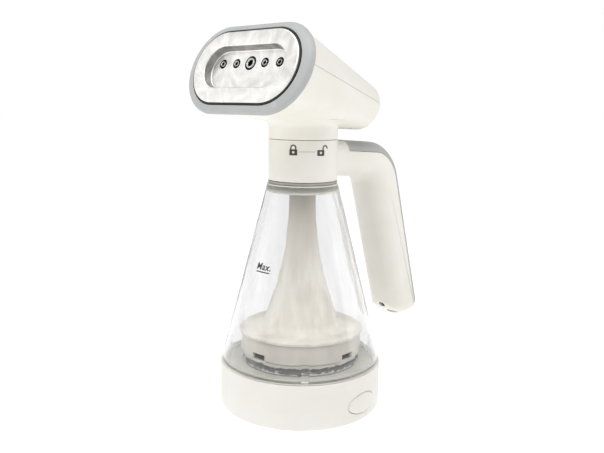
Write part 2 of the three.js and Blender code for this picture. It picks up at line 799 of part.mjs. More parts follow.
function nozzle(x) {
  const outer = isMain(x) ? mainNozzleRadius : nozzleRadius;
  const inner = outer * 0.6;
  const low = pocketFloorY - nozzleProud;
  const profile = [[inner, low], [outer, low], [outer, pocketFloorY + 1.8], [inner, pocketFloorY + 1.8]];
  return solid(turned(profile, 12).rotateX(-Math.PI / 2).translate(x, 0, nozzleRise));
}

function plateGasket() {
  const inner = plateHeight / 2 + gap;
  return solid(
    stadium([[inner, 0.9], [inner + 0.55, 0.9], [inner + 0.55, 4.2], [inner, 4.2]], () => plateFlat),
  );
}

function bezel() {
  const outer = bezelHeight / 2;
  const inner = plateHeight / 2 + 2 * gap + 0.55;
  const outerFlat = (bezelWidth - bezelHeight) / 2;
  const front = bezelSetback;
  const back = bezelSetback + bezelDepth;
  const flat = (r) => mix(plateFlat, outerFlat, (r - inner) / (outer - inner));
  return solid(
    stadium(
      [
        [inner, front - 0.3], [outer - 3.6, front], [outer - 1.3, front + 1], [outer, front + 2.9],
        [outer, back - 0.8], [outer - 0.6, back], [outer - 3.2, back], [inner, front + 3],
      ],
      flat,
    ),
  );
}

const chamberRim = pocketHeight / 2 + 3;
const chamberBack = 26;

function steamChamber() {
  const outer = chamberRim + 3;
  const cup = solid(
    stadium(
      [
        [0, chamberBack - 3], [chamberRim, chamberBack - 3], [chamberRim, 3.5 + gap],
        [outer, 3.5 + gap], [outer, chamberBack], [0, chamberBack],
      ],
      () => plateFlat,
    ),
  );
  const inlet = cut(alongY(3.2, chamberBack - 1, chamberBack + 7, 0, -8));
  return cut(join(cup, inlet), alongY(1.6, chamberBack - 5, chamberBack + 9, 0, -8));
}

function heatingElement() {
  const y = chamberBack + gap + 3.1;
  const turn = new THREE.CurvePath();
  const [low, high, left, right] = [3, 13, -22, 28];
  const radius = (high - low) / 2;
  const at = (x, z) => new THREE.Vector3(x, y, z);
  turn.add(new THREE.LineCurve3(at(right, low), at(left, low)));
  const bend = new THREE.CatmullRomCurve3(
    [0, 45, 90, 135, 180].map((angle) =>
      at(left - radius * Math.sin(angle * deg), low + radius - radius * Math.cos(angle * deg)),
    ),
  );
  turn.add(bend);
  turn.add(new THREE.LineCurve3(at(left, high), at(right, high)));
  const section = new THREE.Shape().absarc(0, 0, 3, 0, 2 * Math.PI);
  return new THREE.ExtrudeGeometry(section, { steps: 18, curveSegments: 3, extrudePath: turn });
}

// ---------- water path ----------
const mouthZ = neckTopZ + gap;
const connectorZ = mouthZ + 1.5 + gap;

function tankConnector() {
  const plate = rod(collarBore - gap, connectorZ, connectorZ + 2, 40);
  const stub = rod(4, connectorZ - 6, connectorZ + 1, 16);
  const nipple = rod(2.4, connectorZ + 1, connectorZ + 4.3, 14);
  return cut(join(plate, stub, nipple), rod(1.2, connectorZ - 10, connectorZ + 10, 10));
}

const gripPoint = (x, y, z) => new THREE.Vector3(x, y, z).applyMatrix4(gripFrame).toArray();

// The stretch both hoses share: through the collar's opening, along the arm and down to the pump.
const sharedRoute = (x) => [
  [x, 14.5, hoseZ], [x, 28, hoseZ], [x, 50, hoseZ - 2], [x, 63, hoseZ - 10],
  gripPoint(x, hoseY, 50), gripPoint(x, hoseY, 22), gripPoint(x * 0.9, (hoseY - 16) / 2, 4),
  gripPoint(x * 0.75, -16, -4.6),
];

function hoses() {
  const topZ = connectorZ + 4.3 + gap;
  const inlet = [[0, 0, topZ + 0.4], [0.2, 0.6, topZ + 2.4], [2.6, 7, topZ + 3.6], ...sharedRoute(5.5)];
  const inHead = (y) => new THREE.Vector3(0, y, -8).applyMatrix4(headFrame).toArray();
  const outlet = [
    inHead(chamberBack + 7.8), inHead(chamberBack + 13), [-2, -10, collarTopZ + 15.6],
    [-3, -3.5, collarTopZ + 7.1], [-4.2, 1.5, collarTopZ - 1.4], ...sharedRoute(-5.5),
  ];
  node("inlet_hose", along(inlet, hoseRadius, 22), plastic(0xe4e4e0, 0.35));
  node("outlet_hose", along(outlet, hoseRadius, 26), plastic(0xe4e4e0, 0.35));
}

// ---------- assembly ----------
function addBase() {
  node("non_slip_pad", rod(baseRadius - 7, 0, padHeight, 48), darkRubber());
  node("base_cup", baseCup(), ivory());
  node("base_deck", deck(), ivory());
  fourPosts((x, y) => [x, y]).forEach(([x, y], i) => {
    const geometry = screw(cupFloor + gap, 12).translate(x, y, 0);
    node("base_screw_" + (i + 1), geometry, steel());
  });
  pair("release_button", releaseButton(), ivory);
  pair("latch_hook", latchHook(), paleGrey);
  pair("release_spring", releaseSpring(), steel);
  const gasketRadius = coneFlangeRadius - 2;
  node("cone_gasket", ring(gasketRadius, gasketRadius - 2.5, deckTop + gap, supportZ - gap), darkRubber());
  node("cone_support_ring", supportRing(), paleGrey());
  node("inner_cone", innerCone(), plastic(0xd5d1c6, 0.35));
}

function addTank() {
  const clear = new THREE.MeshStandardMaterial({
    color: 0xf2f3f2, roughness: 0.08, metalness: 0, transparent: true, opacity: 0.3,
  });
  node("tank_shell", tankShell(), clear);
  node("neck_seal", ring(tankTopRadius - 0.8, neckRadius + gap, sealZ, sealZ + sealHeight), darkRubber());
  node("mouth_gasket", ring(neckRadius, neckRadius - tankWall, mouthZ, mouthZ + 1.5, 32), darkRubber());
}

function addHandle() {
  const { inner, cover } = handleParts();
  node("handle_inner_shell", inner, ivory());
  node("handle_cover", cover, midGrey());
  node("bayonet_ring", bayonetRing(), paleGrey());

  const grip = new THREE.Group();
  grip.position.set(0, gripOuterY, gripRefZ);
  grip.rotation.x = gripTilt;
  steamer.add(grip);
  const outOfBack = (geometry, z) => geometry.rotateX(-Math.PI / 2).translate(0, 0, z);
  node("handle_screw", outOfBack(screw(gripScrewSeat - 1.5 - gap, 14), gripScrewZ), steel(), grip);

  const [low, high] = steamButtonZ;
  const middle = (low + high) / 2;
  const flangeHigh = -wall - 2 * gap;
  const flangeLow = flangeHigh - 1.6;
  const button = join(
    steamButtonShape(0, flangeLow + 0.4, 1),
    gripBlock([-7.2, flangeLow, low - 1.5], [7.2, flangeHigh, high + 1.5]),
  );
  node("steam_button", button, midGrey());
  const board = new THREE.BoxGeometry(20, boardThickness, 44).translate(0, boardY, middle);
  node("control_board", board, plastic(0x2f6b45, 0.6), grip);
  const switchBottom = boardY + boardThickness / 2 + gap;
  const switchTop = flangeLow - steamTravel - gap;
  const micro = new THREE.BoxGeometry(6, switchTop - switchBottom, 10);
  micro.translate(0, (switchTop + switchBottom) / 2, middle + 5);
  node("microswitch", micro, innerBlack(), grip);
  const springRoom = flangeLow - gap - switchBottom;
  const spring = coil(2.4, 0.4, springRoom, 6).rotateX(-Math.PI / 2);
  node("steam_button_spring", spring.translate(0, switchBottom, middle - 5), steel(), grip);
  const lens = turned([[0, -5], [1.8, -5], [1.8, 0.2], [0, 0.4]], 14);
  node("indicator_lens", outOfBack(lens, lensZ), plastic(0xd9efe0, 0.2), grip);
  const pump = turned(
    [[0, -42], [7, -42], [9, -39], [9, -9], [6, -6], [0, -6]], 20,
  ).translate(0, -15.2, 0);
  node("pump", pump, innerBlack(), grip);

  const gland = cut(
    join(
      rod(4.8, gripBottomZ - 1, gripBottomZ + 6.5, 16),
      rod(6.6, gripBottomZ - 1.3, gripBottomZ - gap, 16),
    ),
    rod(3.3, gripBottomZ - 3, gripBottomZ + 12, 14),
  );
  node("cord_gland", gland.translate([0, glandY, 0]), innerBlack());
}

function addHead() {
  const { lower, upper } = headParts();
  node("head_lower_shell", lower, ivory());
  node("head_upper_shell", upper, ivory());
  threeScrews((x, y) => [x, y]).forEach(([x, y], i) => {
    const geometry = screw(flangeLowZ - 1.5 - gap, 9).translate(x, y, 0);
    node("neck_screw_" + (i + 1), geometry, steel());
  });
  ["left", "right"].forEach((side, i) => {
    const x = i ? headScrewX : -headScrewX;
    const geometry = screw(headScrewSeat - 1.5 - gap, 15).translate(x, headScrewY, 0);
    node("head_screw_" + side, geometry, steel());
  });

  const head = new THREE.Group();
  head.position.set(0, faceY, faceZ);
  head.rotation.x = -faceTilt;
  steamer.add(head);
  node("bezel", bezel(), midGrey(), head);
  node("plate_gasket", plateGasket(), innerBlack(), head);
  node("steam_plate", steamPlate(), metal(0xd8d8d6, 0.35), head);
  nozzlePlaces.forEach((x, i) => {
    const made = nozzle(x);
    node("nozzle_" + (i + 1), made, steel(), head);
  });
  node("steam_chamber", steamChamber(), metal(0x9b9c9e, 0.55), head);
  node("heating_element", heatingElement(), metal(0x8a8a8a, 0.4), head);
  const back = chamberBack + gap;
  const onBack = (profile, x, z) => turned(profile, 18).rotateX(-Math.PI / 2).translate(x, 0, z);
  const thermostat = [[0, back], [7, back], [7, back + 3], [4, back + 6], [0, back + 6]];
  node("thermostat", onBack(thermostat, -16, -9), steel(), head);
  const fuse = new THREE.CylinderGeometry(2.2, 2.2, 13, 12).rotateZ(Math.PI / 2);
  node("thermal_fuse", fuse.translate(18, back + 2.4, -9), plastic(0xe9e9e9, 0.5), head);
}

function addWaterPath() {
  node("tank_connector", tankConnector(), paleGrey());
  const tubeTop = connectorZ - 6 - gap;
  const tubeBottom = deckTop + 20;
  node("suction_tube", ring(2.6, 1.6, tubeBottom, tubeTop, 14), plastic(0xeeeeea, 0.3));
  const filter = ring(5, 1.6, tubeBottom - gap - 12, tubeBottom - gap, 18);
  node("suction_filter", filter, paleGrey());
  hoses();
}

addBase();
addTank();
addHandle();
addHead();
addWaterPath();

export default steamer;
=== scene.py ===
# %% [markdown]
# # A handheld garment steamer, standing on its base
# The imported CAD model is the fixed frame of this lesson. It says where every piece is and how
# big it is, so no piece is placed by eye: each is built where its CAD node is, in the same
# metres. The lesson then gives each visible piece a finer mesh and a finish.

# %% Load the frame
import math

import bmesh
import bpy
from mathutils import Matrix, Vector


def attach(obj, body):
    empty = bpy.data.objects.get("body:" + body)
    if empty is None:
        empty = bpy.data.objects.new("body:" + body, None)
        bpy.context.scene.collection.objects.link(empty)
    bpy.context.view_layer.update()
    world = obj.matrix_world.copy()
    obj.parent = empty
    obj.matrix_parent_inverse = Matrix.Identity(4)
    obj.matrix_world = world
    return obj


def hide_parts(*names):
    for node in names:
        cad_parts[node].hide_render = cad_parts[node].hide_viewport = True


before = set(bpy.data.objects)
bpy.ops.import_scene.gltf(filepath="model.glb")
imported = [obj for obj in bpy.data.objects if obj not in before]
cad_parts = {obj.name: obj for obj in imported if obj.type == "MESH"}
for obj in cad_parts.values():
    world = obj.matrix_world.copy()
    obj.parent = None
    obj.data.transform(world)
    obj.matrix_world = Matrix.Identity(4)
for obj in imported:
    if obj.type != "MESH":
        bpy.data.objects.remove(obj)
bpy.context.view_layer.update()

MM = 0.001  # the pieces are modelled in millimetres and shrunk to metres at the end

# %% [markdown]
# ## The view
# A product picture is taken from a little above. The camera stands close, with a normal lens, so
# the near side of the steamer looks a little bigger.
# The camera is set by its place and by three directions: right, up and forward. Building the
# matrix from them is exact, while aiming a camera by hand would drift.

# %% Camera
scene = bpy.context.scene
AZIMUTH, PITCH, ROLL = 0.723, 0.1764, 0.0139  # radians, from the front towards the right
DISTANCE, EYE_HEIGHT = 0.449, 0.1997  # metres
SENSOR_WIDTH, FOCAL_LENGTH = 36, 40.97  # millimetres
NEAREST = 0.01  # metres: nothing closer is drawn
level_right = Vector((math.cos(AZIMUTH), math.sin(AZIMUTH), 0))
level_ahead = Vector((-math.sin(AZIMUTH), math.cos(AZIMUTH), 0))
ahead = level_ahead * math.cos(PITCH) + Vector((0, 0, -math.sin(PITCH)))
upward = level_right.cross(ahead)
right = level_right * math.cos(ROLL) + upward * math.sin(ROLL)
upward = upward * math.cos(ROLL) - level_right * math.sin(ROLL)

lens_data = bpy.data.cameras.new("camera")
lens_data.sensor_width = SENSOR_WIDTH
lens_data.lens = FOCAL_LENGTH
lens_data.clip_start = NEAREST
camera = bpy.data.objects.new("camera", lens_data)
scene.collection.objects.link(camera)
eye = -level_ahead * DISTANCE + Vector((0, 0, EYE_HEIGHT))
camera.matrix_world = Matrix((
    (right.x, upward.x, -ahead.x, eye.x),
    (right.y, upward.y, -ahead.y, eye.y),
    (right.z, upward.z, -ahead.z, eye.z),
    (0, 0, 0, 1),
))
scene.camera = camera
print("camera at", [round(c, 3) for c in eye])

# %% [markdown]
# ## Small helpers for nodes
# A finish is a tree of nodes, and each tree is built by the same few steps: add a node with its
# settings, map a range onto another, and join an output to an input.

# %% Node helpers
def add(tree, kind, **settings):
    """A node with its settings; a key that names an input sets that input."""
    made = tree.nodes.new(kind)
    for key, value in settings.items():
        if hasattr(made, key):
            setattr(made, key, value)
        else:
            made.inputs[key.replace("_", " ")].default_value = value
    return made


def ramp(tree, low, high, first=0.0, last=1.0):
    """Maps a value from low..high to first..last, clamped."""
    made = add(tree, "ShaderNodeMapRange", clamp=True)
    for key, value in (("From Min", low), ("From Max", high), ("To Min", first), ("To Max", last)):
        made.inputs[key].default_value = value
    return made


def group(name, inputs, outputs):
    """An empty node group with its ends, as (tree, input node, output node)."""
    tree = bpy.data.node_groups.new(name, "ShaderNodeTree")
    for label, value in inputs.items():
        end = tree.interface.new_socket(label, in_out="INPUT", socket_type="NodeSocketFloat")
        end.default_value = value
    for label, kind in outputs.items():
        tree.interface.new_socket(label, in_out="OUTPUT", socket_type=kind)
    return tree, tree.nodes.new("NodeGroupInput"), tree.nodes.new("NodeGroupOutput")


def wire(tree, *links):
    """Joins nodes; each link is (node, its output, node, its input)."""
    for source, output, target, entry in links:
        tree.links.new(source.outputs[output], target.inputs[entry])

# %% [markdown]
# ## The light
# White products are best lit in a light tent: bright walls at the sides, a bright roof and
# a darker front where the camera looks in. That gives pale edges and a slightly greyer middle on
# every round piece. Large area lamps make such walls, and a pale world fills the rest.

# %% Lamps
def lamp(name, place, target, size, power, height=None):
    """A rectangular soft box at place (metres) that points at target."""
    data = bpy.data.lights.new(name, "AREA")
    data.shape = "RECTANGLE"
    data.size = size
    data.size_y = height or size
    data.energy = power
    made = bpy.data.objects.new(name, data)
    scene.collection.objects.link(made)
    made.location = place
    made.rotation_euler = (Vector(target) - Vector(place)).to_track_quat("-Z", "Y").to_euler()
    return made


def beside(along_right, along_back, height):
    """A place given from the camera's side: metres to its right, away from it, and up."""
    return level_right * along_right + level_ahead * along_back + Vector((0, 0, height))


middle = Vector((0, 0.02, 0.13))
lamp("roof_box", beside(-0.05, -0.3, 0.9), middle, 0.8, 5.5)
lamp("left_wall", beside(-0.95, 0.0, 0.35), middle, 0.8, 1.7, 1.0)
lamp("right_wall", beside(0.95, 0.2, 0.35), middle, 0.8, 2.0, 1.0)
lamp("front_fill", beside(-0.35, -1.1, 0.45), middle, 0.7, 0.15)

# %% World
TENT_LIGHT, TENT_SEEN = 0.34, 1.0  # what it gives as light, and what the eye sees of it
TENT_MIRRORED = 0.45  # metal mirrors the tent's walls, brighter than their light
world = bpy.data.worlds.new("tent")
scene.world = world
world.use_nodes = True
tent = world.node_tree
backdrop = tent.nodes["Background"]
backdrop.inputs["Color"].default_value = (1, 1, 1, 1)
looking = add(tent, "ShaderNodeLightPath")
seen_white = add(tent, "ShaderNodeMath", operation="MAXIMUM")
strength = add(tent, "ShaderNodeMapRange", To_Min=TENT_LIGHT, To_Max=TENT_SEEN)
mirrored = add(tent, "ShaderNodeMath", operation="MULTIPLY")
mirrored.inputs[1].default_value = TENT_MIRRORED
brighter = add(tent, "ShaderNodeMath", operation="MAXIMUM")
wire(
    tent,
    (looking, "Is Camera Ray", seen_white, 0), (looking, "Is Transmission Ray", seen_white, 1),
    (looking, "Is Glossy Ray", mirrored, 0), (mirrored, "Value", brighter, 0),
    (seen_white, "Value", brighter, 1), (brighter, "Value", strength, "Value"),
    (strength, "Result", backdrop, "Strength"),
)
scene.view_settings.view_transform = "Standard"
print("lamps:", len(bpy.data.lights))

# %% [markdown]
# ## Finishes
# The steamer has few finishes: ivory moulded plastic, two greys, clear and milky plastic, dark
# rubber, a cast and wiped metal plate, and steel. Effects that several of them share are node
# groups, built once: a fine moulded grain, soft handling marks, dry streaks left by hard water,
# and a lighter edge where corners are scuffed, which is also a painted highlight on the edges.
# Groups only put out values and normals, and each material keeps its own shader.

# %% Group: moulded grain
# Spark-eroded moulds leave a very fine, even grain with a slow unevenness under it.
grain, start, end = group(
    "moulded_grain", {"Grain": 900.0, "Depth": 0.1, "Waves": 0.1}, {"Normal": "NodeSocketVector"},
)
where = add(grain, "ShaderNodeTexCoord")
fine = add(grain, "ShaderNodeTexNoise", Detail=2.0, Roughness=0.6)
slow = add(grain, "ShaderNodeTexNoise", Scale=38.0, Detail=1.0)
bump_slow = add(grain, "ShaderNodeBump", Distance=0.0006)
bump_fine = add(grain, "ShaderNodeBump", Distance=0.00006)
wire(
    grain,
    (where, "Object", fine, "Vector"), (where, "Object", slow, "Vector"),
    (start, "Grain", fine, "Scale"), (start, "Waves", bump_slow, "Strength"),
    (start, "Depth", bump_fine, "Strength"), (slow, "Fac", bump_slow, "Height"),
    (fine, "Fac", bump_fine, "Height"), (bump_slow, "Normal", bump_fine, "Normal"),
    (bump_fine, "Normal", end, "Normal"),
)
print("group", grain.name)

# %% Group: handling marks
# Hands polish some places and leave others duller, so the gloss is never the same all over.
marks, start, end = group(
    "handling_marks", {"Size": 28.0, "Low": 0.35, "High": 0.5},
    {"Roughness": "NodeSocketFloat", "Cloud": "NodeSocketFloat"},
)
where = add(marks, "ShaderNodeTexCoord")
cloud = add(marks, "ShaderNodeTexNoise", Detail=4.0, Roughness=0.62, Distortion=0.6)
spread = ramp(marks, 0.32, 0.68)
wire(
    marks,
    (where, "Object", cloud, "Vector"), (start, "Size", cloud, "Scale"),
    (cloud, "Fac", spread, "Value"),
)
level = add(marks, "ShaderNodeMix", data_type="FLOAT")
wire(
    marks,
    (spread, "Result", level, 0), (start, "Low", level, 2), (start, "High", level, 3),
    (level, 0, end, "Roughness"), (spread, "Result", end, "Cloud"),
)
print("group", marks.name)

# %% Group: hard-water streaks
# Drops that dry on a wall leave pale runs, long in Z and ragged at their ends.
streaks, start, end = group(
    "water_streaks", {"Across": 130.0, "Along": 14.0, "Amount": 0.5}, {"Mask": "NodeSocketFloat"},
)
where = add(streaks, "ShaderNodeTexCoord")
stretch = add(streaks, "ShaderNodeCombineXYZ")
squeeze = add(streaks, "ShaderNodeVectorMath", operation="MULTIPLY")
run = add(streaks, "ShaderNodeTexNoise", Scale=1.0, Detail=3.0, Roughness=0.55)
cut_off = add(streaks, "ShaderNodeMapRange", clamp=True)
cut_off.inputs["From Max"].default_value = 0.85
threshold = add(streaks, "ShaderNodeMath", operation="SUBTRACT")
threshold.inputs[0].default_value = 0.85
wire(
    streaks,
    (start, "Across", stretch, "X"), (start, "Across", stretch, "Y"),
    (start, "Along", stretch, "Z"), (where, "Object", squeeze, 0), (stretch, "Vector", squeeze, 1),
    (squeeze, "Vector", run, "Vector"), (run, "Fac", cut_off, "Value"),
    (start, "Amount", threshold, 1), (threshold, "Value", cut_off, "From Min"),
    (cut_off, "Result", end, "Mask"),
)
print("group", streaks.name)

# %% Group: scuffed edges and painted edge highlights
# Pointiness is high on outer corners, so a narrow range of it finds the edges that hands and
# tables scuff. The lighter colour there is partly that scuffing and partly a painted highlight on
# the rounded edges. The mask is broken up by noise, because scuffing is never an even line.
wear_and_sheen, start, end = group("rubbed_edges_and_sheen", {"Amount": 0.5}, {"Mask": "NodeSocketFloat"})
shape_info = add(wear_and_sheen, "ShaderNodeNewGeometry")
corner = ramp(wear_and_sheen, 0.53, 0.62)
where = add(wear_and_sheen, "ShaderNodeTexCoord")
patchy = add(wear_and_sheen, "ShaderNodeTexNoise", Scale=160.0, Detail=3.0)
both = add(wear_and_sheen, "ShaderNodeMath", operation="MULTIPLY")
scaled = add(wear_and_sheen, "ShaderNodeMath", operation="MULTIPLY")
wire(
    wear_and_sheen,
    (shape_info, "Pointiness", corner, "Value"), (where, "Object", patchy, "Vector"),
    (corner, "Result", both, 0), (patchy, "Fac", both, 1), (both, "Value", scaled, 0),
    (start, "Amount", scaled, 1), (scaled, "Value", end, "Mask"),
)
print("group", wear_and_sheen.name)

# %% [markdown]
# ### Moulded plastics
# All the moulded pieces are one recipe with different numbers: two close tones clouded together,
# the grain, the handling marks and the scuffed edges with their painted highlight. A function
# writes the recipe once, and each finish is one call of it.

# %% Plastic recipe
def linear(red, green, blue):
    """An sRGB colour (0 to 255) as the linear colour that shaders use."""
    tones = []
    for value in (red, green, blue):
        share = value / 255
        tones.append(share / 12.92 if share <= 0.04045 else ((share + 0.055) / 1.055) ** 2.4)
    return (*tones, 1.0)


def material(name):
    """A new material with its Principled shader, as (material, tree, shader)."""
    made = bpy.data.materials.new(name)
    made.use_nodes = True
    tree = made.node_tree
    return made, tree, tree.nodes["Principled BSDF"]


def use(tree, shared, **values):
    """A shared node group placed in a material with its own values."""
    made = tree.nodes.new("ShaderNodeGroup")
    made.node_tree = shared
    for key, value in values.items():
        made.inputs[key].default_value = value
    return made


def blend_colour(tree, factor, first, second):
    """A colour mix whose ends are colours or sockets."""
    made = add(tree, "ShaderNodeMix", data_type="RGBA")
    tree.links.new(factor, made.inputs[0])
    for index, end_colour in ((6, first), (7, second)):
        if isinstance(end_colour, bpy.types.NodeSocket):
            tree.links.new(end_colour, made.inputs[index])
        else:
            made.inputs[index].default_value = end_colour
    return made.outputs[2]


def dress(tree, shader, colour, mark, surface):
    """Gives a shader its colour, the marks' roughness and a surface's normal."""
    tree.links.new(colour, shader.inputs["Base Color"])
    wire(tree, (mark, "Roughness", shader, "Roughness"), (surface, "Normal", shader, "Normal"))


def plastic(name, light, dark, low=0.34, high=0.46, grain_size=900.0, depth=0.12, waves=0.06,
            rub_and_sheen=0.35, rubbed_and_sheen=None, coat=0.0):
    """Moulded plastic between two tones, with grain, marks and scuffed edges that carry a painted highlight.
    """
    made, tree, shader = material(name)
    mark = use(tree, marks, Low=low, High=high)
    edge = use(tree, wear_and_sheen, Amount=rub_and_sheen)
    surface = use(tree, grain, Grain=grain_size, Depth=depth, Waves=waves)
    tone = blend_colour(tree, mark.outputs["Cloud"], light, dark)
    # The edges are lighter: partly scuffing, partly a painted highlight.
    worn_and_lit = blend_colour(tree, edge.outputs["Mask"], tone, rubbed_and_sheen or light)
    dress(tree, shader, worn_and_lit, mark, surface)
    shader.inputs["Coat Weight"].default_value = coat
    shader.inputs["Coat Roughness"].default_value = 0.25
    return made


ivory = plastic("ivory_shell", linear(240, 238, 230), linear(236, 233, 223), low=0.3, high=0.42)
ivory_base = plastic("ivory_base", linear(241, 239, 233), linear(237, 234, 227), low=0.32, high=0.44)
pale_grey = plastic("pale_grey_moulding", linear(216, 212, 202), linear(202, 198, 187))
deck_grey = plastic("deck_moulding", linear(208, 207, 199), linear(180, 179, 171),
                    rubbed_and_sheen=linear(214, 212, 204))
# The grey strip and the bezel get much lighter edges: painted highlights on their rounded rims, with a little
# scuffing.
strip_grey = plastic("grey_strip", linear(176, 177, 174), linear(166, 167, 164), low=0.26, high=0.38,
                     rubbed_and_sheen=linear(205, 206, 203), depth=0.1)
bezel_grey = plastic("grey_bezel", linear(184, 185, 185), linear(174, 175, 175), low=0.36, high=0.5,
                     rubbed_and_sheen=linear(215, 216, 216), depth=0.06, rub_and_sheen=0.6)
black = plastic("black_moulding", linear(42, 42, 42), linear(30, 30, 31), low=0.4, high=0.6,
                rubbed_and_sheen=linear(80, 80, 80))
board_green = plastic("board_lacquer", linear(38, 92, 62), linear(30, 78, 52), low=0.2, high=0.4)
hose_white = plastic("hose_silicone", linear(228, 229, 224), linear(216, 217, 210), low=0.3, high=0.5)
lens_green = plastic("lamp_lens", linear(206, 234, 214), linear(190, 222, 200), low=0.08, high=0.16,
                     depth=0.0, coat=0.6)
print("plastics:", len(bpy.data.materials))

# %% [markdown]
# ### Rubber, with dried water on it
# The seals are dark grey rubber. The one in the foot of the tank stands in water, so pale ragged
# patches have dried over it. The streak group gives the runs, and a second noise breaks the band
# along its upper and lower edges.

# %% Rubber
def ragged_band(tree, height, half):
    """Zero in a level band, one above and below it, with an edge torn by noise."""
    where = add(tree, "ShaderNodeTexCoord")
    apart = add(tree, "ShaderNodeSeparateXYZ")
    torn = add(tree, "ShaderNodeTexNoise", Scale=190.0, Detail=4.0, Roughness=0.65)
    lower = add(tree, "ShaderNodeMath", operation="SUBTRACT")
    lower.inputs[1].default_value = height
    away = add(tree, "ShaderNodeMath", operation="ABSOLUTE")
    shift = ramp(tree, 0.3, 0.7, -half * 1.1, half * 1.1)
    both = add(tree, "ShaderNodeMath", operation="ADD")
    mask = ramp(tree, half * 0.9, half * 1.1)
    wire(
        tree,
        (where, "Object", apart, "Vector"), (where, "Object", torn, "Vector"),
        (apart, "Z", lower, 0), (lower, "Value", away, 0), (torn, "Fac", shift, "Value"),
        (away, "Value", both, 0), (shift, "Result", both, 1), (both, "Value", mask, "Value"),
    )
    return mask.outputs["Result"]


def rubber(name, tone, dull, stained, band=None):
    """Dark rubber with dried water marks; a band (height, half) keeps it dark only in the middle."""
    made, tree, shader = material(name)
    mark = use(tree, marks, Size=60.0, Low=0.6, High=0.85)
    run = use(tree, streaks, Across=160.0, Along=60.0, Amount=stained)
    surface = use(tree, grain, Grain=1400.0, Depth=0.25, Waves=0.2)
    base = blend_colour(tree, mark.outputs["Cloud"], tone, dull)
    colour = blend_colour(tree, run.outputs["Mask"], base, linear(196, 196, 190))
    if band:
        colour = blend_colour(tree, ragged_band(tree, *band), colour, linear(206, 204, 196))
    dress(tree, shader, colour, mark, surface)
    return made


rubber_seal = rubber("seal_rubber", linear(176, 174, 168), linear(162, 160, 154), 0.05)
rubber_foot = rubber("foot_rubber", linear(74, 74, 72), linear(60, 60, 58), 0.1)
rubber_dark = rubber("gasket_rubber", linear(112, 112, 114), linear(92, 92, 95), 0.3, (0.0336, 0.0017))
print("rubbers made")

# %% [markdown]
# ### Metals
# The steam plate is die-cast aluminium, wiped and stained by steam: it is pale and soft, with
# cloudy patches rather than a clean brushed line. The nozzles, screws and springs are turned
# steel, so they are smoother and darker. Both are metallic, and only the numbers differ. Two
# more are painted shade: a near-black one in the sinks, the nozzles' bores and on the screw deep
# in its recess, and a darker grey one on the pocket's walls, which also paints their reflection.

# %% Metal recipe
def metal(name, light, dark, low, high, wipe, depth):
    """A metal clouded between two tones, with fine marks stretched across the piece."""
    made, tree, shader = material(name)
    shader.inputs["Metallic"].default_value = 1.0
    where = add(tree, "ShaderNodeTexCoord")
    along = add(tree, "ShaderNodeMapping")
    along.inputs["Scale"].default_value = wipe
    lines = add(tree, "ShaderNodeTexNoise", Scale=60.0, Detail=6.0, Roughness=0.7, Distortion=1.2)
    spread = ramp(tree, 0.36, 0.64)
    mark = use(tree, marks, Size=70.0, Low=low, High=high)
    bump = add(tree, "ShaderNodeBump", Distance=0.0001)
    bump.inputs["Strength"].default_value = depth
    wire(
        tree,
        (where, "Object", along, "Vector"), (along, "Vector", lines, "Vector"),
        (lines, "Fac", spread, "Value"),
    )
    tree.links.new(blend_colour(tree, spread.outputs["Result"], light, dark), shader.inputs["Base Color"])
    wire(
        tree,
        (mark, "Roughness", shader, "Roughness"), (lines, "Fac", bump, "Height"),
        (bump, "Normal", shader, "Normal"),
    )
    return made


plate_metal = metal("cast_plate", linear(248, 247, 244), linear(216, 215, 211), 0.34, 0.52, (1, 1, 1), 0.3)
steel = metal("turned_steel", linear(205, 206, 208), linear(180, 181, 184), 0.16, 0.3, (1, 1, 6), 0.15)
raw_metal = metal("raw_casting", linear(178, 178, 178), linear(150, 150, 150), 0.5, 0.7, (1, 1, 1), 0.6)
# Painted shade: a near-black metal for the nozzles' sinks and bores and the screw deep in its recess.
shade_dark_metal = metal("painted_shade_metal", linear(78, 77, 74), linear(40, 40, 39), 0.5, 0.7, (1, 1, 1), 0.3)
# Painted shade and reflection: a darker grey for the walls of the plate's pocket.
pocket_shade_metal = metal("pocket_wall_painted_shade", linear(176, 175, 171), linear(140, 139, 136), 0.4, 0.6, (1, 1, 1), 0.3)
print("metals made")

# %% [markdown]
# ### Clear and milky plastic
# The tank is clear polycarbonate. A ray from a lamp can't bend through glass to what is inside,
# so the shader is mixed with a Transparent one for those rays only: the cone inside is then lit
# as it is in life. Long faint waves in the wall come from the way it was moulded. The inner cone
# is milky and streaky, and its top is greyer with painted shade.

# %% Clear tank plastic
clear, tree, shader = material("clear_tank")
shader.inputs["Transmission Weight"].default_value = 1.0
shader.inputs["IOR"].default_value = 1.45
mark = use(tree, marks, Size=40.0, Low=0.0, High=0.05)
wire(tree, (mark, "Roughness", shader, "Roughness"))
waves = use(tree, streaks, Across=110.0, Along=7.0, Amount=0.6)
bump = add(tree, "ShaderNodeBump", Distance=0.0004)
bump.inputs["Strength"].default_value = 0.25
wire(tree, (waves, "Mask", bump, "Height"))
tree.links.new(blend_colour(tree, waves.outputs["Mask"], linear(247, 247, 247), linear(234, 234, 235)),
               shader.inputs["Base Color"])
wire(tree, (bump, "Normal", shader, "Normal"))
open_way = add(tree, "ShaderNodeBsdfTransparent")
open_way.inputs["Color"].default_value = (0.97, 0.975, 0.975, 1)
ray = add(tree, "ShaderNodeLightPath")
either = add(tree, "ShaderNodeMixShader")
wire(
    tree,
    (ray, "Is Shadow Ray", either, 0), (shader, "BSDF", either, 1), (open_way, "BSDF", either, 2),
)
tree.links.new(either.outputs["Shader"], tree.nodes["Material Output"].inputs["Surface"])
print("clear plastic made")

# %% Frosted foot of the tank
frosted = plastic("frosted_foot", linear(240, 238, 232), linear(224, 222, 215), low=0.4, high=0.6,
                  grain_size=500.0, depth=0.4)
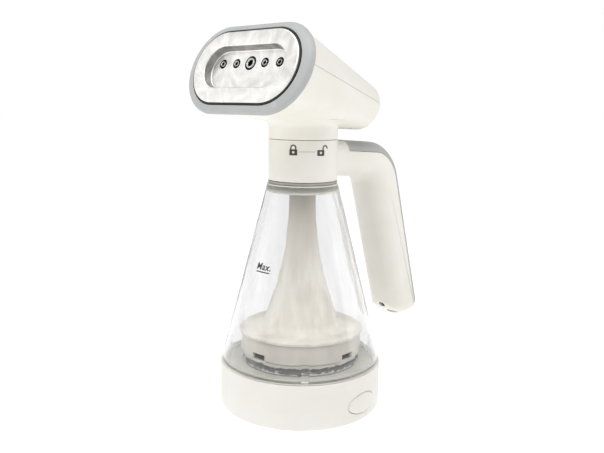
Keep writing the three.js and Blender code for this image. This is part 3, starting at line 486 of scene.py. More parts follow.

# %% Milky cone plastic
# A ramp along Z paints shade on the narrow top of the cone, making it greyer, and the streaks run down from
# it.
milky, tree, shader = material("milky_cone")
where = add(tree, "ShaderNodeTexCoord")
apart = add(tree, "ShaderNodeSeparateXYZ")
top_shade_ramp = ramp(tree, 0.088, 0.146)
runs = use(tree, streaks, Across=95.0, Along=9.0, Amount=0.42)
mark = use(tree, marks, Size=45.0, Low=0.3, High=0.55)
surface = use(tree, grain, Grain=700.0, Depth=0.12, Waves=0.1)
wire(
    tree,
    (where, "Object", apart, "Vector"), (apart, "Z", top_shade_ramp, "Value"),
)
clean = blend_colour(tree, mark.outputs["Cloud"], linear(236, 233, 224), linear(228, 224, 213))
# Painted shade: the top of the cone is greyer.
upper = blend_colour(tree, top_shade_ramp.outputs["Result"], clean, linear(190, 182, 170))
tree.links.new(blend_colour(tree, runs.outputs["Mask"], upper, linear(205, 199, 188)),
               shader.inputs["Base Color"])
wire(
    tree,
    (mark, "Roughness", shader, "Roughness"), (surface, "Normal", shader, "Normal"),
)
print("milky plastic made")

# %% [markdown]
# ## Modelling helpers
# Most pieces of the steamer were turned, pressed or extruded in their moulds, and the same moves
# make them here. A flat outline gets its corners rounded by a vertex bevel. Then it is spun about
# the upright axis, or pushed across the body and bevelled along its rims. Two solids are joined
# or cut with a Boolean modifier, whose result is taken as the new mesh.

# %% Whole shapes
def shift(shape, way):
    """Moves a whole shape."""
    bmesh.ops.translate(shape, verts=shape.verts[:], vec=way)


def stretch(shape, shares):
    """Scales a whole shape along x, y and z."""
    bmesh.ops.scale(shape, verts=shape.verts[:], vec=shares)


def turn_by(shape, matrix):
    """Turns a whole shape about the origin."""
    bmesh.ops.rotate(shape, verts=shape.verts[:], matrix=matrix)


def face_out(shape):
    """Points every face away from the inside."""
    bmesh.ops.recalc_face_normals(shape, faces=shape.faces[:])


# %% Outlines
def bevel(shape, geometry, offset, segments, affect="EDGES"):
    """A round bevel with the editor's own settings."""
    return bmesh.ops.bevel(
        shape, geom=geometry, offset=offset, offset_type="OFFSET", segments=segments,
        profile=0.5, affect=affect, material=-1,
    )


def outline(corners, place, segments=6):
    """A flat face from (a, b, rounding) corners; place turns (a, b) into a point."""
    shape = bmesh.new()
    points = [place(a, b) for a, b, _ in corners]
    verts = [shape.verts.new(point) for point in points]
    shape.faces.new(verts)
    for i, (_, _, rounding) in enumerate(corners):
        if rounding:
            before = points[i - 1] - points[i]
            after = points[(i + 1) % len(points)] - points[i]
            reach = rounding / math.tan(before.angle(after) / 2)
            bevel(shape, [verts[i]], reach, segments, "VERTICES")
    return shape


def upright(a, b):
    """A radius and a height, for a piece turned about Z."""
    return Vector((a, 0, b))


def spin(shape, axis, steps):
    """Spins an outline through a full turn; an edge that lies on the axis is left out."""
    turn = Vector(axis)
    bmesh.ops.delete(shape, geom=shape.faces[:], context="FACES_ONLY")
    on_axis = [e for e in shape.edges if all(v.co.cross(turn).length < 1e-6 for v in e.verts)]
    bmesh.ops.delete(shape, geom=on_axis, context="EDGES")
    bmesh.ops.spin(
        shape, geom=shape.verts[:] + shape.edges[:], cent=(0, 0, 0), axis=turn,
        angle=2 * math.pi, steps=steps, use_merge=True,
    )
    bmesh.ops.remove_doubles(shape, verts=shape.verts[:], dist=1e-4)
    face_out(shape)
    return shape


def turned(corners, steps=128, segments=5):
    """A piece turned about Z from (radius, height, rounding) corners."""
    return spin(outline(corners, upright, segments), (0, 0, 1), steps)


# %% Solids
def thicken(shape, vector):
    """Pushes a flat face into a closed solid."""
    pushed = bmesh.ops.extrude_face_region(shape, geom=shape.faces[:])["geom"]
    moved = [part for part in pushed if isinstance(part, bmesh.types.BMVert)]
    bmesh.ops.translate(shape, verts=moved, vec=vector)
    face_out(shape)
    return shape


def solid_object(shape, name="tool"):
    """A temporary object for a Boolean."""
    mesh = bpy.data.meshes.new(name)
    shape.to_mesh(mesh)
    shape.free()
    made = bpy.data.objects.new(name, mesh)
    scene.collection.objects.link(made)
    return made


def combine(shape, *tools, how="DIFFERENCE"):
    """Cuts, joins or intersects closed shapes one after another."""
    body = solid_object(shape, "body")
    made_tools = [solid_object(tool) for tool in tools]
    for tool in made_tools:
        step = body.modifiers.new("step", "BOOLEAN")
        step.operation = how
        step.solver = "MANIFOLD"
        step.object = tool
    seen = body.evaluated_get(bpy.context.evaluated_depsgraph_get())
    result = bmesh.new()
    result.from_mesh(seen.to_mesh())
    seen.to_mesh_clear()
    for used in (body, *made_tools):
        mesh = used.data
        bpy.data.objects.remove(used)
        bpy.data.meshes.remove(mesh)
    bmesh.ops.remove_doubles(result, verts=result.verts[:], dist=1e-3)
    bmesh.ops.dissolve_degenerate(result, edges=result.edges[:], dist=1e-3)
    torn = [e for e in result.edges if len(e.link_faces) == 1]
    bmesh.ops.holes_fill(result, edges=torn, sides=0)
    return result


def finished(name, shape, body, finish, slot, *nodes, sharp=32):
    """Turns a shape in millimetres into a named piece that stands for CAD nodes."""
    stretch(shape, (MM, MM, MM))
    mesh = bpy.data.meshes.new(name)
    open_edges = sum(1 for e in shape.edges if len(e.link_faces) != 2)
    shape.to_mesh(mesh)
    shape.free()
    mesh.shade_smooth()
    mesh.set_sharp_from_angle(angle=math.radians(sharp))
    mesh.materials.append(finish)
    made = bpy.data.objects.new(name, mesh)
    scene.collection.objects.link(made)
    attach(made, body)
    if nodes:
        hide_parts(*nodes)
    print(name, len(mesh.polygons), "faces, open edges", open_edges)
    return made


# %% [markdown]
# ## The base
# The base is a shallow round cup on a rubber pad. It is a turned shape: wall, floor and a soft
# rim. Its two release buttons are ovals in the sides, so the wall has oval windows, cut by one
# long oval bar pushed right through. The pad is a plain disc with a soft lower edge and a ring
# of grooves that keep it from slipping.

# %% Base cup
GAP = 0.3
BASE_RADIUS, BASE_TOP, CUP_FLOOR = 54.0, 30.2, 4.0
CUP_INNER = BASE_RADIUS - 2.4
BUTTON_Z, BUTTON_HALF = 12.1, (12.6, 6.4)


def oval_bar(half_width, half_height, near, far):
    """A bar of oval section along X at the buttons' height."""
    shape = bmesh.new()
    bmesh.ops.create_circle(shape, cap_ends=True, segments=72, radius=1)
    turn_by(shape, Matrix.Rotation(math.pi / 2, 3, "Y"))
    stretch(shape, (1, half_width, half_height))
    shift(shape, (near, 0, BUTTON_Z))
    return thicken(shape, (far - near, 0, 0))


cup = turned([
    (0, 2.3, 0), (47.3, 2.3, 0.4), (47.3, 0.4, 0.3), (BASE_RADIUS, 0.4, 1.6),
    (BASE_RADIUS, BASE_TOP, 1.5), (CUP_INNER, BASE_TOP, 0.5), (CUP_INNER, CUP_FLOOR, 1.5),
    (0, CUP_FLOOR, 0),
], steps=160)
window = oval_bar(BUTTON_HALF[0] + GAP, BUTTON_HALF[1] + GAP, -60, 60)
cup = combine(cup, window)


def on_window_rim(edge):
    """True where an edge runs round a window on the cup's outside."""
    for v in edge.verts:
        ring = (v.co.y / (BUTTON_HALF[0] + GAP)) ** 2 + ((v.co.z - BUTTON_Z) / (BUTTON_HALF[1] + GAP)) ** 2
        if abs(ring - 1) > 0.01 or abs(math.hypot(v.co.x, v.co.y) - BASE_RADIUS) > 0.1:
            return False
    return True


rim_edges = [e for e in cup.edges if on_window_rim(e)]
print("window rim edges:", len(rim_edges))
bevel(cup, rim_edges, 0.45, 3)
finished("base_cup_shell", cup, "base_body", ivory_base, "ivory_plastic", "base_cup")

# %% Foot pad
pad = turned([
    (0, 0, 0), (30, 0, 0), (30.6, 0.6, 0), (32, 0.6, 0), (32.6, 0, 0), (38, 0, 0), (38.6, 0.6, 0),
    (40, 0.6, 0), (40.6, 0, 0), (47, 0, 0.6), (47, 2, 0.2), (0, 2, 0),
], steps=96, segments=3)
finished("foot_pad", pad, "base_body", rubber_foot, "dark_rubber", "non_slip_pad")

# %% [markdown]
# ## The release buttons
# Each button is an oval cap whose face follows the round wall of the cup and stands a little
# proud of it, with a soft crown. A flat oval is pushed into a cap, its front rim is rounded, and
# its face is cut into a grid so that there are points to bend. Then every point of the cap moves
# back by as much as the wall does at that width.

# %% Release buttons
def release_cap(side):
    """One oval cap; side is 1 on the right and -1 on the left."""
    shape = oval_bar(*BUTTON_HALF, 48, BASE_RADIUS + 1.0)
    face = max(shape.faces, key=lambda f: f.calc_center_median().x)
    bevel(shape, face.edges[:], 1.3, 6)
    cuts = [((0, y, 0), (0, 1, 0)) for y in range(-11, 12, 2)]
    cuts += [((0, 0, BUTTON_Z + z), (0, 0, 1)) for z in (-4.5, -3, -1.5, 0, 1.5, 3, 4.5)]
    for point, normal in cuts:
        everything = shape.verts[:] + shape.edges[:] + shape.faces[:]
        bmesh.ops.bisect_plane(shape, geom=everything, plane_co=point, plane_no=normal)
    for v in shape.verts:
        if v.co.x > 50:
            off_centre = (v.co.y / BUTTON_HALF[0]) ** 2 + ((v.co.z - BUTTON_Z) / BUTTON_HALF[1]) ** 2
            wall = math.sqrt(BASE_RADIUS ** 2 - v.co.y ** 2)
            v.co.x += wall - BASE_RADIUS - 0.3 * min(off_centre, 1)
    flange = oval_bar(BUTTON_HALF[0] + 1.4, BUTTON_HALF[1] + 1.0, 46.5, 49.3)
    shape = combine(shape, flange, how="UNION")
    if side < 0:
        stretch(shape, (-1, 1, 1))
        face_out(shape)
    return shape


finished("right_release_cap", release_cap(1), "right_release", ivory_base, "ivory_plastic",
         "release_button_right")
finished("left_release_cap", release_cap(-1), "left_release", ivory_base, "ivory_plastic",
         "release_button_left")

# %% [markdown]
# ## Inside the foot of the tank
# Under the clear wall stand three turned pieces: a dark rubber gasket with two lips, a pale ring
# with four notches, and the milky cone with its wide flange. The notches are cut with two bars
# that cross at the middle.

# %% Gasket and support ring
gasket = turned([
    (36.5, 30.5, 0.4), (39, 30.5, 0.8), (39, 32.6, 0.5), (38.1, 33.4, 0.3), (38.1, 34.6, 0.3),
    (39, 35.4, 0.5), (39, 37.6, 0.8), (36.5, 37.6, 0.4),
], steps=128)
finished("foot_gasket", gasket, "base_body", rubber_dark, "dark_rubber", "cone_gasket")


def bar(low, high):
    """A block from its lowest to its highest corner."""
    shape = bmesh.new()
    bmesh.ops.create_cube(shape, size=1)
    stretch(shape, [b - a for a, b in zip(low, high)])
    shift(shape, [(a + b) / 2 for a, b in zip(low, high)])
    return shape


support = turned([(38, 37.9, 0.2), (40, 37.9, 0.5), (40, 50.5, 0.6), (38, 50.5, 0.2)], steps=128)
support = combine(support, bar((-5, -60, 36.9), (5, 60, 41.9)), bar((-60, -5, 36.9), (60, 5, 41.9)))
finished("cone_ring", support, "base_body", pale_grey, "pale_grey_plastic", "cone_support_ring")

# %% Milky cone
CONE_TOP, CONE_TOP_Z, FLANGE_Z, FLANGE_RADIUS, CONE_WALL = 8.6, 144.0, 50.8, 41.0, 1.6
BELL_ROUND, BELL_TURN = 8, 82  # the sweep into the flange: radius and degrees
BELL_Z = FLANGE_Z + BELL_ROUND


def cone_radius(share):
    """The trumpet's outside: nearly straight at first, then swelling fast."""
    return CONE_TOP + (FLANGE_RADIUS * 0.6 - CONE_TOP) * share ** 2.2


SIDE_STEPS, SWEEP_STEPS = 24, 8
outside = [(cone_radius(i / SIDE_STEPS), CONE_TOP_Z - (CONE_TOP_Z - BELL_Z) * i / SIDE_STEPS)
           for i in range(SIDE_STEPS + 1)]
bell = outside[-1][0]
for i in range(1, SWEEP_STEPS + 1):
    angle = math.radians(180 + BELL_TURN * i / SWEEP_STEPS)
    outside.append((bell + BELL_ROUND + BELL_ROUND * math.cos(angle),
                    BELL_Z + CONE_WALL + BELL_ROUND * math.sin(angle)))
outside.append((FLANGE_RADIUS, FLANGE_Z + CONE_WALL))
inside = [(r - CONE_WALL, z - (CONE_WALL if r > bell else 0)) for r, z in outside[:-1]]
cone_profile = [(r, z, 0) for r, z in [*outside, (FLANGE_RADIUS, FLANGE_Z), *reversed(inside)]]
finished("steam_cone", turned(cone_profile, steps=112), "base_body", milky, "milky_plastic",
         "inner_cone", sharp=50)

# %% [markdown]
# ## The water tank
# The tank is a clear cone with a straight neck. Its wall is a real closed shell, outside and
# inside, because glass shows both surfaces. The spigot that drops into the base, the four short
# ribs in the foot and the three lugs of the bayonet are part of the same moulding, so they are
# joined to it with a Boolean and not laid on it: an extra wall inside the plastic would show.

# %% Tank
TANK_FOOT, TANK_TOP, TANK_WALL = 53.6, 23.4, 2.5
FOOT_Z, SHOULDER_Z, NECK_RADIUS, NECK_TOP_Z = 30.5, 149.0, 17.5, 161.5


def tank_radius(z):
    """The outside radius of the tank's wall at a height."""
    share = (z - FOOT_Z) / (SHOULDER_Z - 1 - FOOT_Z)
    return TANK_FOOT + (TANK_TOP - TANK_FOOT) * share


tank = turned([
    (51.2, 22, 0.3), (51.2, FOOT_Z, 0), (TANK_FOOT, FOOT_Z, 0.6), (23.15, SHOULDER_Z, 1.0),
    (NECK_RADIUS, SHOULDER_Z, 0.8), (NECK_RADIUS, NECK_TOP_Z, 0.5), (15, NECK_TOP_Z, 0.5),
    (15, 146.5, 2), (20.9, 144, 2), (TANK_FOOT - TANK_WALL, 32.5, 1), (49, FOOT_Z, 0), (49, 22, 0.3),
], steps=160)
RIB_HALF, RIB_LOW, RIB_HIGH = 2.3, 30.7, 47.5
envelope = turned([(0, 30.5, 0), (53.1, 30.5, 0), (22.9, 148, 0), (0, 148, 0)], steps=160)


def foot_rib(angle):
    """A small upright with a round top, inside the foot of the wall."""
    rounding = RIB_HALF * 0.98
    shape = outline([
        (-RIB_HALF, RIB_LOW, 0), (RIB_HALF, RIB_LOW, 0), (RIB_HALF, RIB_HIGH, rounding),
        (-RIB_HALF, RIB_HIGH, rounding),
    ], upright, 8)
    shape = thicken(shape, (0, 8, 0))
    shift(shape, (0, 47.1, 0))
    turn_by(shape, Matrix.Rotation(math.radians(angle), 3, "Z"))
    return combine(shape, envelope.copy(), how="INTERSECT")


def lug(angle):
    """One of the three lugs that turn into the collar's ring."""
    shape = outline([(17, 154.5, 0), (19.2, 154.5, 0.3), (19.2, 157.5, 0.3), (17, 157.5, 0)], upright, 2)
    turn_by(shape, Matrix.Rotation(math.radians(angle - 12), 3, "Z"))
    bmesh.ops.spin(shape, geom=shape.faces[:], cent=(0, 0, 0), axis=(0, 0, 1),
                   angle=math.radians(24), steps=6)
    face_out(shape)
    return shape


parts = [foot_rib(angle) for angle in (45, 135, 225, 315)] + [lug(angle) for angle in (0, 120, 240)]
envelope.free()
tank = combine(tank, *parts, how="UNION")
tank = combine(tank, bar((-51.6, -9, 24.6), (51.6, 9, 27.4)))
tank_wall = finished("clear_tank_wall", tank, "base_body", clear, "clear_plastic", "tank_shell")
tank_wall.data.materials.append(frosted)
for face in tank_wall.data.polygons:
    reach, height = face.center.xy.length / MM, face.center.z / MM
    in_neck = height > SHOULDER_Z - 0.9 or (height > 143.2 and reach < 21.4)
    face.material_index = 1 if in_neck or height < FOOT_Z + 2.2 else 0

# %% Neck seal
seal = turned([(17.8, 149.3, 0.3), (22.6, 149.3, 0.5), (22.6, 150.9, 0.5), (17.8, 150.9, 0.3)])
finished("collar_seal", seal, "handset", rubber_seal, "dark_rubber", "neck_seal")

# %% [markdown]
# ## The handle
# Seen from the side, the handle is a bent band: an arm that leaves the collar, a wide outer bend
# and a grip that slopes back. Its back has a tight edge rounding and its finger side a rounder
# one. Two solids make that: each is the side view pushed across the body, one carries the back's
# rounding past the front and the other the front's past the back, and the handle is what they
# share. Five straight lines drive both side views, and an inset of the same lines gives the hollow.

# %% Lines of the side view
GRIP_TILT = math.radians(18)
GRIP_WIDTH, GRIP_DEPTH, GRIP_Y, GRIP_Z, GRIP_BOTTOM = 30.0, 31.8, 109.9, 100.0, 37.8
COLLAR_RADIUS, COLLAR_BORE, COLLAR_Z, COLLAR_TOP = 22.5, 20.7, 151.2, 177.4
ARM_TOP, ARM_DEPTH, OUTER_BEND, INNER_BEND = 176.9, 25.0, 34.0, 10.0
OUTER_EDGE, INNER_EDGE, SHELL = 8.5, 13.5, 2.2
STRIP_WRAP, STRIP_START, TONGUE = 7.0, 30.5, 19.0
PAST = 40.0
INNER_TURN_Y = 83.0  # where the back's outline leaves the finger side


def side_view(a, b):
    """A point of the side view: how far back and how high."""
    return Vector((0, a, b))


def handle_lines(inset):
    """The five lines as (point, direction), moved into the material by the inset."""
    def line(y, z, degrees):
        angle = math.radians(degrees)
        way = Vector((math.cos(angle), math.sin(angle)))
        return Vector((y, z)) + Vector((way.y, -way.x)) * inset, way

    tilt = math.degrees(GRIP_TILT)
    return {
        "top": line(COLLAR_RADIUS, ARM_TOP, -4),
        "outer": line(GRIP_Y, GRIP_Z, tilt - 90),
        "bottom": line(GRIP_Y, GRIP_BOTTOM, 180),
        "inner": line(GRIP_Y - GRIP_DEPTH / math.cos(GRIP_TILT), GRIP_Z, tilt + 90),
        "under": line(COLLAR_RADIUS, ARM_TOP - ARM_DEPTH, 180 - 4.5),
    }


def meet(first, second):
    """Where two lines cross."""
    (a, way_a), (b, way_b) = first, second
    share = (b - a).cross(way_b) / way_a.cross(way_b)
    return a + way_a * share


def at_back(line, y):
    """The point of a line at a distance back."""
    point, way = line
    return point + way * ((y - point.x) / way.x)


def across(corners, width, edge=0.0, bend_steps=12, edge_steps=8):
    """The side view pushed across the body, with its rims rounded."""
    shape = outline([(p.x, p.y, r) for p, r in corners], side_view, bend_steps)
    shift(shape, (-width / 2, 0, 0))
    shape = thicken(shape, (width, 0, 0))
    if edge:
        rims = [e for e in shape.edges if abs(e.verts[0].co.x - e.verts[1].co.x) < 1e-6]
        bevel(shape, rims, edge, edge_steps)
        bmesh.ops.remove_doubles(shape, verts=shape.verts[:], dist=1e-3)
    return shape


def handle_solid(inset):
    """The handle's outside, or its hollow with the wall as the inset."""
    lines = handle_lines(inset)
    top, outer, bottom, inner, under = (lines[k] for k in ("top", "outer", "bottom", "inner", "under"))
    width = GRIP_WIDTH - 2 * inset
    beyond = handle_lines(inset - 0.4)["inner"]  # a hair outside, so that no two faces coincide
    back = across([
        (at_back(top, 0), 0), (meet(top, outer), OUTER_BEND - inset),
        (meet(outer, bottom), OUTER_EDGE + 0.8 - inset), (meet(bottom, beyond), 0.72 * GRIP_DEPTH - inset),
        (at_back(beyond, INNER_TURN_Y), 0),
        (meet(inner, under) + Vector((-PAST, -PAST)), 0), (at_back(under, 0) + Vector((0, -PAST)), 0),
    ], width, OUTER_EDGE - inset)
    front = across([
        (at_back(top, 0) + Vector((0, PAST)), 0), (meet(top, outer) + Vector((PAST, PAST)), 0),
        (meet(outer, bottom) + Vector((PAST, -PAST)), 0),
        (at_back(inner, meet(bottom, inner).x + 0.4 * PAST), 0),
        (meet(inner, under), INNER_BEND + inset), (at_back(under, 0), 0),
    ], width + 0.1, INNER_EDGE - inset)  # a hair wider, for the same reason
    return combine(back, front, how="INTERSECT")


def strip_zone(grow):
    """Everything outside the cover strip's lower line, with a narrow tongue at the collar."""
    lines, far = handle_lines(STRIP_WRAP + grow), handle_lines(-PAST)
    shape = across([
        (at_back(lines["top"], 0), 0),
        (meet(lines["top"], lines["outer"]), OUTER_BEND - STRIP_WRAP - grow),
        (meet(lines["outer"], far["bottom"]), 0), (meet(far["outer"], far["bottom"]), 0),
        (meet(far["top"], far["outer"]), 0), (at_back(far["top"], 0), 0),
    ], 2 * GRIP_WIDTH)
    side, shoulder, low = TONGUE / 2 + grow, STRIP_START - grow, 30
    right = bar((side, -1, low), (70, shoulder, ARM_TOP + PAST + 10))
    left = bar((-70, -1, low), (-side, shoulder, ARM_TOP + PAST + 10))
    return combine(shape, right, left)


handle = handle_solid(0)
print("handle solid:", len(handle.faces), "faces")

# %% [markdown]
# ### The grip's own frame
# Screws, the steam button and the lamp sit square to the sloping grip. They are made upright at
# the origin, where numbers are simple, and one matrix then tilts them into place: y leads out of
# the grip's back and z runs up along it.

# %% Grip frame and small tools
LAY_BACK = Matrix.Rotation(-math.pi / 2, 4, "X")  # lays an upright piece down, pointing back
grip_frame = Matrix.Translation((0, GRIP_Y, GRIP_Z)) @ Matrix.Rotation(GRIP_TILT, 4, "X")
SCREW_Z, SCREW_SEAT, LENS_Z = -47.4, -GRIP_DEPTH + 6, 50.0
BUTTON_LOW, BUTTON_HIGH, BUTTON_RADIUS = 20.0, 40.0, 6.0
GLAND_Y = GRIP_Y + (GRIP_Z - GRIP_BOTTOM) * math.tan(GRIP_TILT) + 1 - GRIP_DEPTH / math.cos(GRIP_TILT) / 2


def moved(shape, matrix):
    """A shape taken into another frame."""
    bmesh.ops.transform(shape, matrix=matrix, verts=shape.verts[:])
    face_out(shape)
    return shape


def out_of_back(shape, z=0.0):
    """Turns a piece made about Z so that it points out of the grip's back at a height."""
    return moved(shape, grip_frame @ Matrix.Translation((0, 0, z)) @ LAY_BACK)


def pin(radius, low, high, z, steps=40):
    """A round bar through the grip."""
    return out_of_back(rod(radius, low, high, steps), z)


def tube(outer, inner, low, high, steps=128):
    """A plain ring about Z."""
    return turned([(inner, low, 0), (outer, low, 0), (outer, high, 0), (inner, high, 0)], steps)


def rod(radius, low, high, steps=128):
    """A plain cylinder about Z."""
    return turned([(0, low, 0), (radius, low, 0), (radius, high, 0), (0, high, 0)], steps)


def button_bar(grow, low, high):
    """The steam button's long round section, pushed out of the grip's back."""
    half = BUTTON_RADIUS + grow
    shape = outline([
        (-half, BUTTON_LOW - grow, half * 0.98), (half, BUTTON_LOW - grow, half * 0.98),
        (half, BUTTON_HIGH + grow, half * 0.98), (-half, BUTTON_HIGH + grow, half * 0.98),
    ], upright, 10)
    shift(shape, (0, low, 0))
    return thicken(shape, (0, high - low, 0))


hollow = combine(handle_solid(SHELL), rod(COLLAR_RADIUS + 0.1, 101, 202))
print("hollow:", len(hollow.faces), "faces")

# %% Collar and inner shell
collar = turned([
    (COLLAR_BORE, COLLAR_Z, 0.2), (COLLAR_RADIUS, COLLAR_Z, 0.4), (COLLAR_RADIUS, COLLAR_TOP, 0.35),
    (COLLAR_BORE, COLLAR_TOP, 0.2),
], steps=160)
arm = combine(handle.copy(), strip_zone(GAP), hollow.copy(), rod(COLLAR_RADIUS - 0.9, 141, 188, 160))
ledge = tube(COLLAR_BORE + 0.2, 14.5, 172.8, 174.8)
seat = combine(pin(4.6, -GRIP_DEPTH + 1, SCREW_SEAT + SHELL, SCREW_Z), handle.copy(), how="INTERSECT")
inner_shell = combine(arm, collar, ledge, seat, how="UNION")
inner_shell = combine(
    inner_shell, bar((-9, 10, 165.6), (9, 21.6, 172.4)),
    pin(2.7, -GRIP_DEPTH - 10, SCREW_SEAT, SCREW_Z), pin(1.5, -GRIP_DEPTH, -5, SCREW_Z, 24),
    moved(rod(5.1, GRIP_BOTTOM - 5, GRIP_BOTTOM + 8, 48), Matrix.Translation((0, GLAND_Y, 0))),
)
finished("collar_and_grip", inner_shell, "handset", ivory, "ivory_plastic", "handle_inner_shell")

# %% Cover strip
boss = combine(pin(3.4, SCREW_SEAT + SHELL + GAP, -1, SCREW_Z), handle.copy(), how="INTERSECT")
strip = combine(handle, strip_zone(0), how="INTERSECT")
strip = combine(strip, hollow, rod(COLLAR_RADIUS + GAP, 131, 198, 160))
strip = combine(strip, boss, how="UNION")
strip = combine(
    strip, moved(button_bar(GAP, -10, 5), grip_frame), pin(2.1, -8, 8, LENS_Z),
    pin(1.5, -GRIP_DEPTH, -6, SCREW_Z, 24),
)
finished("grip_cover_strip", strip, "handset", strip_grey, "mid_grey_plastic", "handle_cover")

# %% [markdown]
# ### Steam button, lamp, screw and gland
# The steam button is a long round key with a soft rim and three raised bars for the thumb. The
# lamp is a small pale green dome. The screw has a pan head with a cross slot, cut by two thin bars,
# and the cord gland is a stepped ring at the foot of the grip.

# %% Steam button
def slab_edges(shape, y):
    """The edges of a shape that lie at one depth."""
    return [e for e in shape.edges if all(abs(v.co.y - y) < 1e-4 for v in e.verts)]


key = button_bar(0, -4.0, 1.0)
bevel(key, slab_edges(key, 1.0), 1.1, 5)
ridges = []
for height in (26.5, 30, 33.5):
    ridge = bar((-3.4, 0.2, height - 0.7), (3.4, 1.45, height + 0.7))
    bevel(ridge, slab_edges(ridge, 1.45), 0.45, 3)
    ridges.append(ridge)
key = combine(key, *ridges, bar((-7.2, -4.4, 18.5), (7.2, -2.8, 41.5)), how="UNION")
finished("steam_key_cap", moved(key, grip_frame), "steam_key", bezel_grey, "mid_grey_plastic",
         "steam_button")

# %% Lamp, screw and gland
dome = turned([(0, -5, 0), (1.8, -5, 0.2), (1.8, 0.5, 0.9), (0, 0.5, 0)], steps=40)
finished("lamp_dome", out_of_back(dome, LENS_Z), "handset", lens_green, "milky_plastic",
         "indicator_lens")


def cross_screw(low, length, head=2.4, depth=1.5):
    """A screw about Z with its pan head at the low end and a cross slot in it."""
    shape = turned([
        (0, low, 0), (head, low, 0.8), (head, low + depth, 0.1), (1.2, low + depth, 0.1),
        (1.2, low + length - 1, 0), (0, low + length, 0),
    ], steps=32)
    slots = [bar((-1.5, -0.28, low - 1), (1.5, 0.28, low + 0.9)),
             bar((-0.28, -1.5, low - 1), (0.28, 1.5, low + 0.9))]
    return combine(shape, *slots)


# The screw takes the near-black metal: painted shade in its deep recess.
finished("grip_screw", out_of_back(cross_screw(SCREW_SEAT - 1.8, 14), SCREW_Z), "handset", shade_dark_metal,
         "steel", "handle_screw")
gland = turned([
    (3.3, GRIP_BOTTOM - 1.3, 0.5), (6.6, GRIP_BOTTOM - 1.3, 0.6), (6.6, GRIP_BOTTOM - 0.3, 0.1),
    (4.8, GRIP_BOTTOM - 0.3, 0), (4.8, GRIP_BOTTOM + 6.5, 0.4), (3.3, GRIP_BOTTOM + 6.5, 0.2),
], steps=48)
finished("cord_gland_ring", moved(gland, Matrix.Translation((0, GLAND_Y, 0))), "handset", ivory,
         "black_plastic", "cord_gland")

# %% [markdown]
# ## The steam head
# The housing is a long barrel whose section is a stadium: two half rounds with a flat stretch
# between. It narrows towards the rear and slopes down. A turned barrel is made first, then every
# ring is widened by pushing its two halves apart, and last the rings are laid along the sloping
# line. The barrel is cut along a seam into an upper and a lower shell with a fine gap between.

# %% Housing
FACE_TILT, HEAD_DROP, REAR_TILT = math.radians(21.5), math.radians(12.7), math.radians(13.7)
HEAD_WIDTH, HEAD_HEIGHT, REAR_WIDTH, REAR_HEIGHT = 97.2, 55.4, 58.0, 30.6
HEAD_LENGTH, HEAD_EDGE, SEAM_RISE = 96.7, 5.5, 2.6
BEZEL_SETBACK, BEZEL_DEPTH = 1.5, 4.4
head_frame = Matrix.Translation((0, -54.2, 221.0)) @ Matrix.Rotation(-FACE_TILT, 4, "X")
housing_front = head_frame @ Vector((0, BEZEL_SETBACK + BEZEL_DEPTH, 0))


def mix(a, b, share):
    """Between two numbers."""
    return a + (b - a) * share


def stadium(corners, flat_at, steps=128, segments=5):
    """A piece turned about Y from (radius, depth, rounding), its halves pushed apart in X."""
    shape = outline(corners, lambda a, b: Vector((a, b, 0)), segments)
    half_step = Matrix.Rotation(math.pi / steps, 3, "Y")
    turn_by(shape, half_step)
    shape = spin(shape, (0, 1, 0), steps)
    for v in shape.verts:
        if abs(v.co.x) > 1e-5:
            v.co.x += math.copysign(flat_at(math.hypot(v.co.x, v.co.z), v.co.y), v.co.x)
    return shape


def housing(inset):
    """The barrel, or its hollow with the wall as the inset."""
    start, end = (-6.0 if inset else GAP), HEAD_LENGTH - inset

    def half_height(y):
        return mix(HEAD_HEIGHT, REAR_HEIGHT, y / HEAD_LENGTH) / 2 - inset

    def half_width(y):
        return mix(HEAD_WIDTH, REAR_WIDTH, y / HEAD_LENGTH) / 2 - inset

    stations = [(half_height(start + (end - start) * k / 10), start + (end - start) * k / 10, 0)
                for k in range(0, 10)]
    rear = (half_height(end), end, HEAD_EDGE - inset / 2)
    shape = stadium([(0, start, 0), *stations, rear, (0, end, 0)],
                    lambda r, y: half_width(y) - half_height(y), segments=8)
    for v in shape.verts:
        y, z = v.co.y, v.co.z
        tilt = mix(FACE_TILT, REAR_TILT, y / HEAD_LENGTH)
        v.co.y = housing_front.y + y * math.cos(HEAD_DROP) + z * math.sin(tilt)
        v.co.z = housing_front.z - y * math.sin(HEAD_DROP) + z * math.cos(tilt)
    face_out(shape)
    return shape


def seam_half(side, margin):
    """The space above or below the seam, which follows the barrel's line."""
    middle_z = SEAM_RISE + side * (50 + margin)
    shape = bar((-100, -90, middle_z - 50), (100, 210, middle_z + 50))
    lay = Matrix.Translation((0, housing_front.y, housing_front.z)) @ Matrix.Rotation(-HEAD_DROP, 4, "X")
    return moved(shape, lay)


barrel = combine(housing(0), housing(SHELL))
NECK_LOW = COLLAR_TOP + GAP
neck = turned([
    (15, 175.1, 0.3), (20.4, 175.1, 0.3), (20.4, NECK_LOW, 0), (COLLAR_RADIUS, NECK_LOW, 0.35),
    (COLLAR_RADIUS, NECK_LOW + 11.8, 5.5), (COLLAR_RADIUS + 7, NECK_LOW + 12.6, 0),
    (COLLAR_RADIUS + 7, NECK_LOW + 22, 0), (COLLAR_BORE, NECK_LOW + 22, 0), (COLLAR_BORE, 181.7, 0),
    (15, 181.7, 0.3),
], steps=160, segments=8)
neck = combine(neck, housing(SHELL))
lower = combine(barrel.copy(), rod(COLLAR_BORE + 0.9, 181.7, 261))
lower = combine(lower, neck, how="UNION")
SCREW_PLACES = [(15, 28), (-15, 28)]
screw_ways = [moved(rod(2.7, 150, 191.9, 40), Matrix.Translation((x, y, 0))) for x, y in SCREW_PLACES]
lower = combine(combine(lower, seam_half(-1, 0), how="INTERSECT"), *screw_ways)
upper = combine(barrel, seam_half(1, 0.22), how="INTERSECT")
finished("head_lower_half", lower, "handset", ivory, "ivory_plastic", "head_lower_shell")
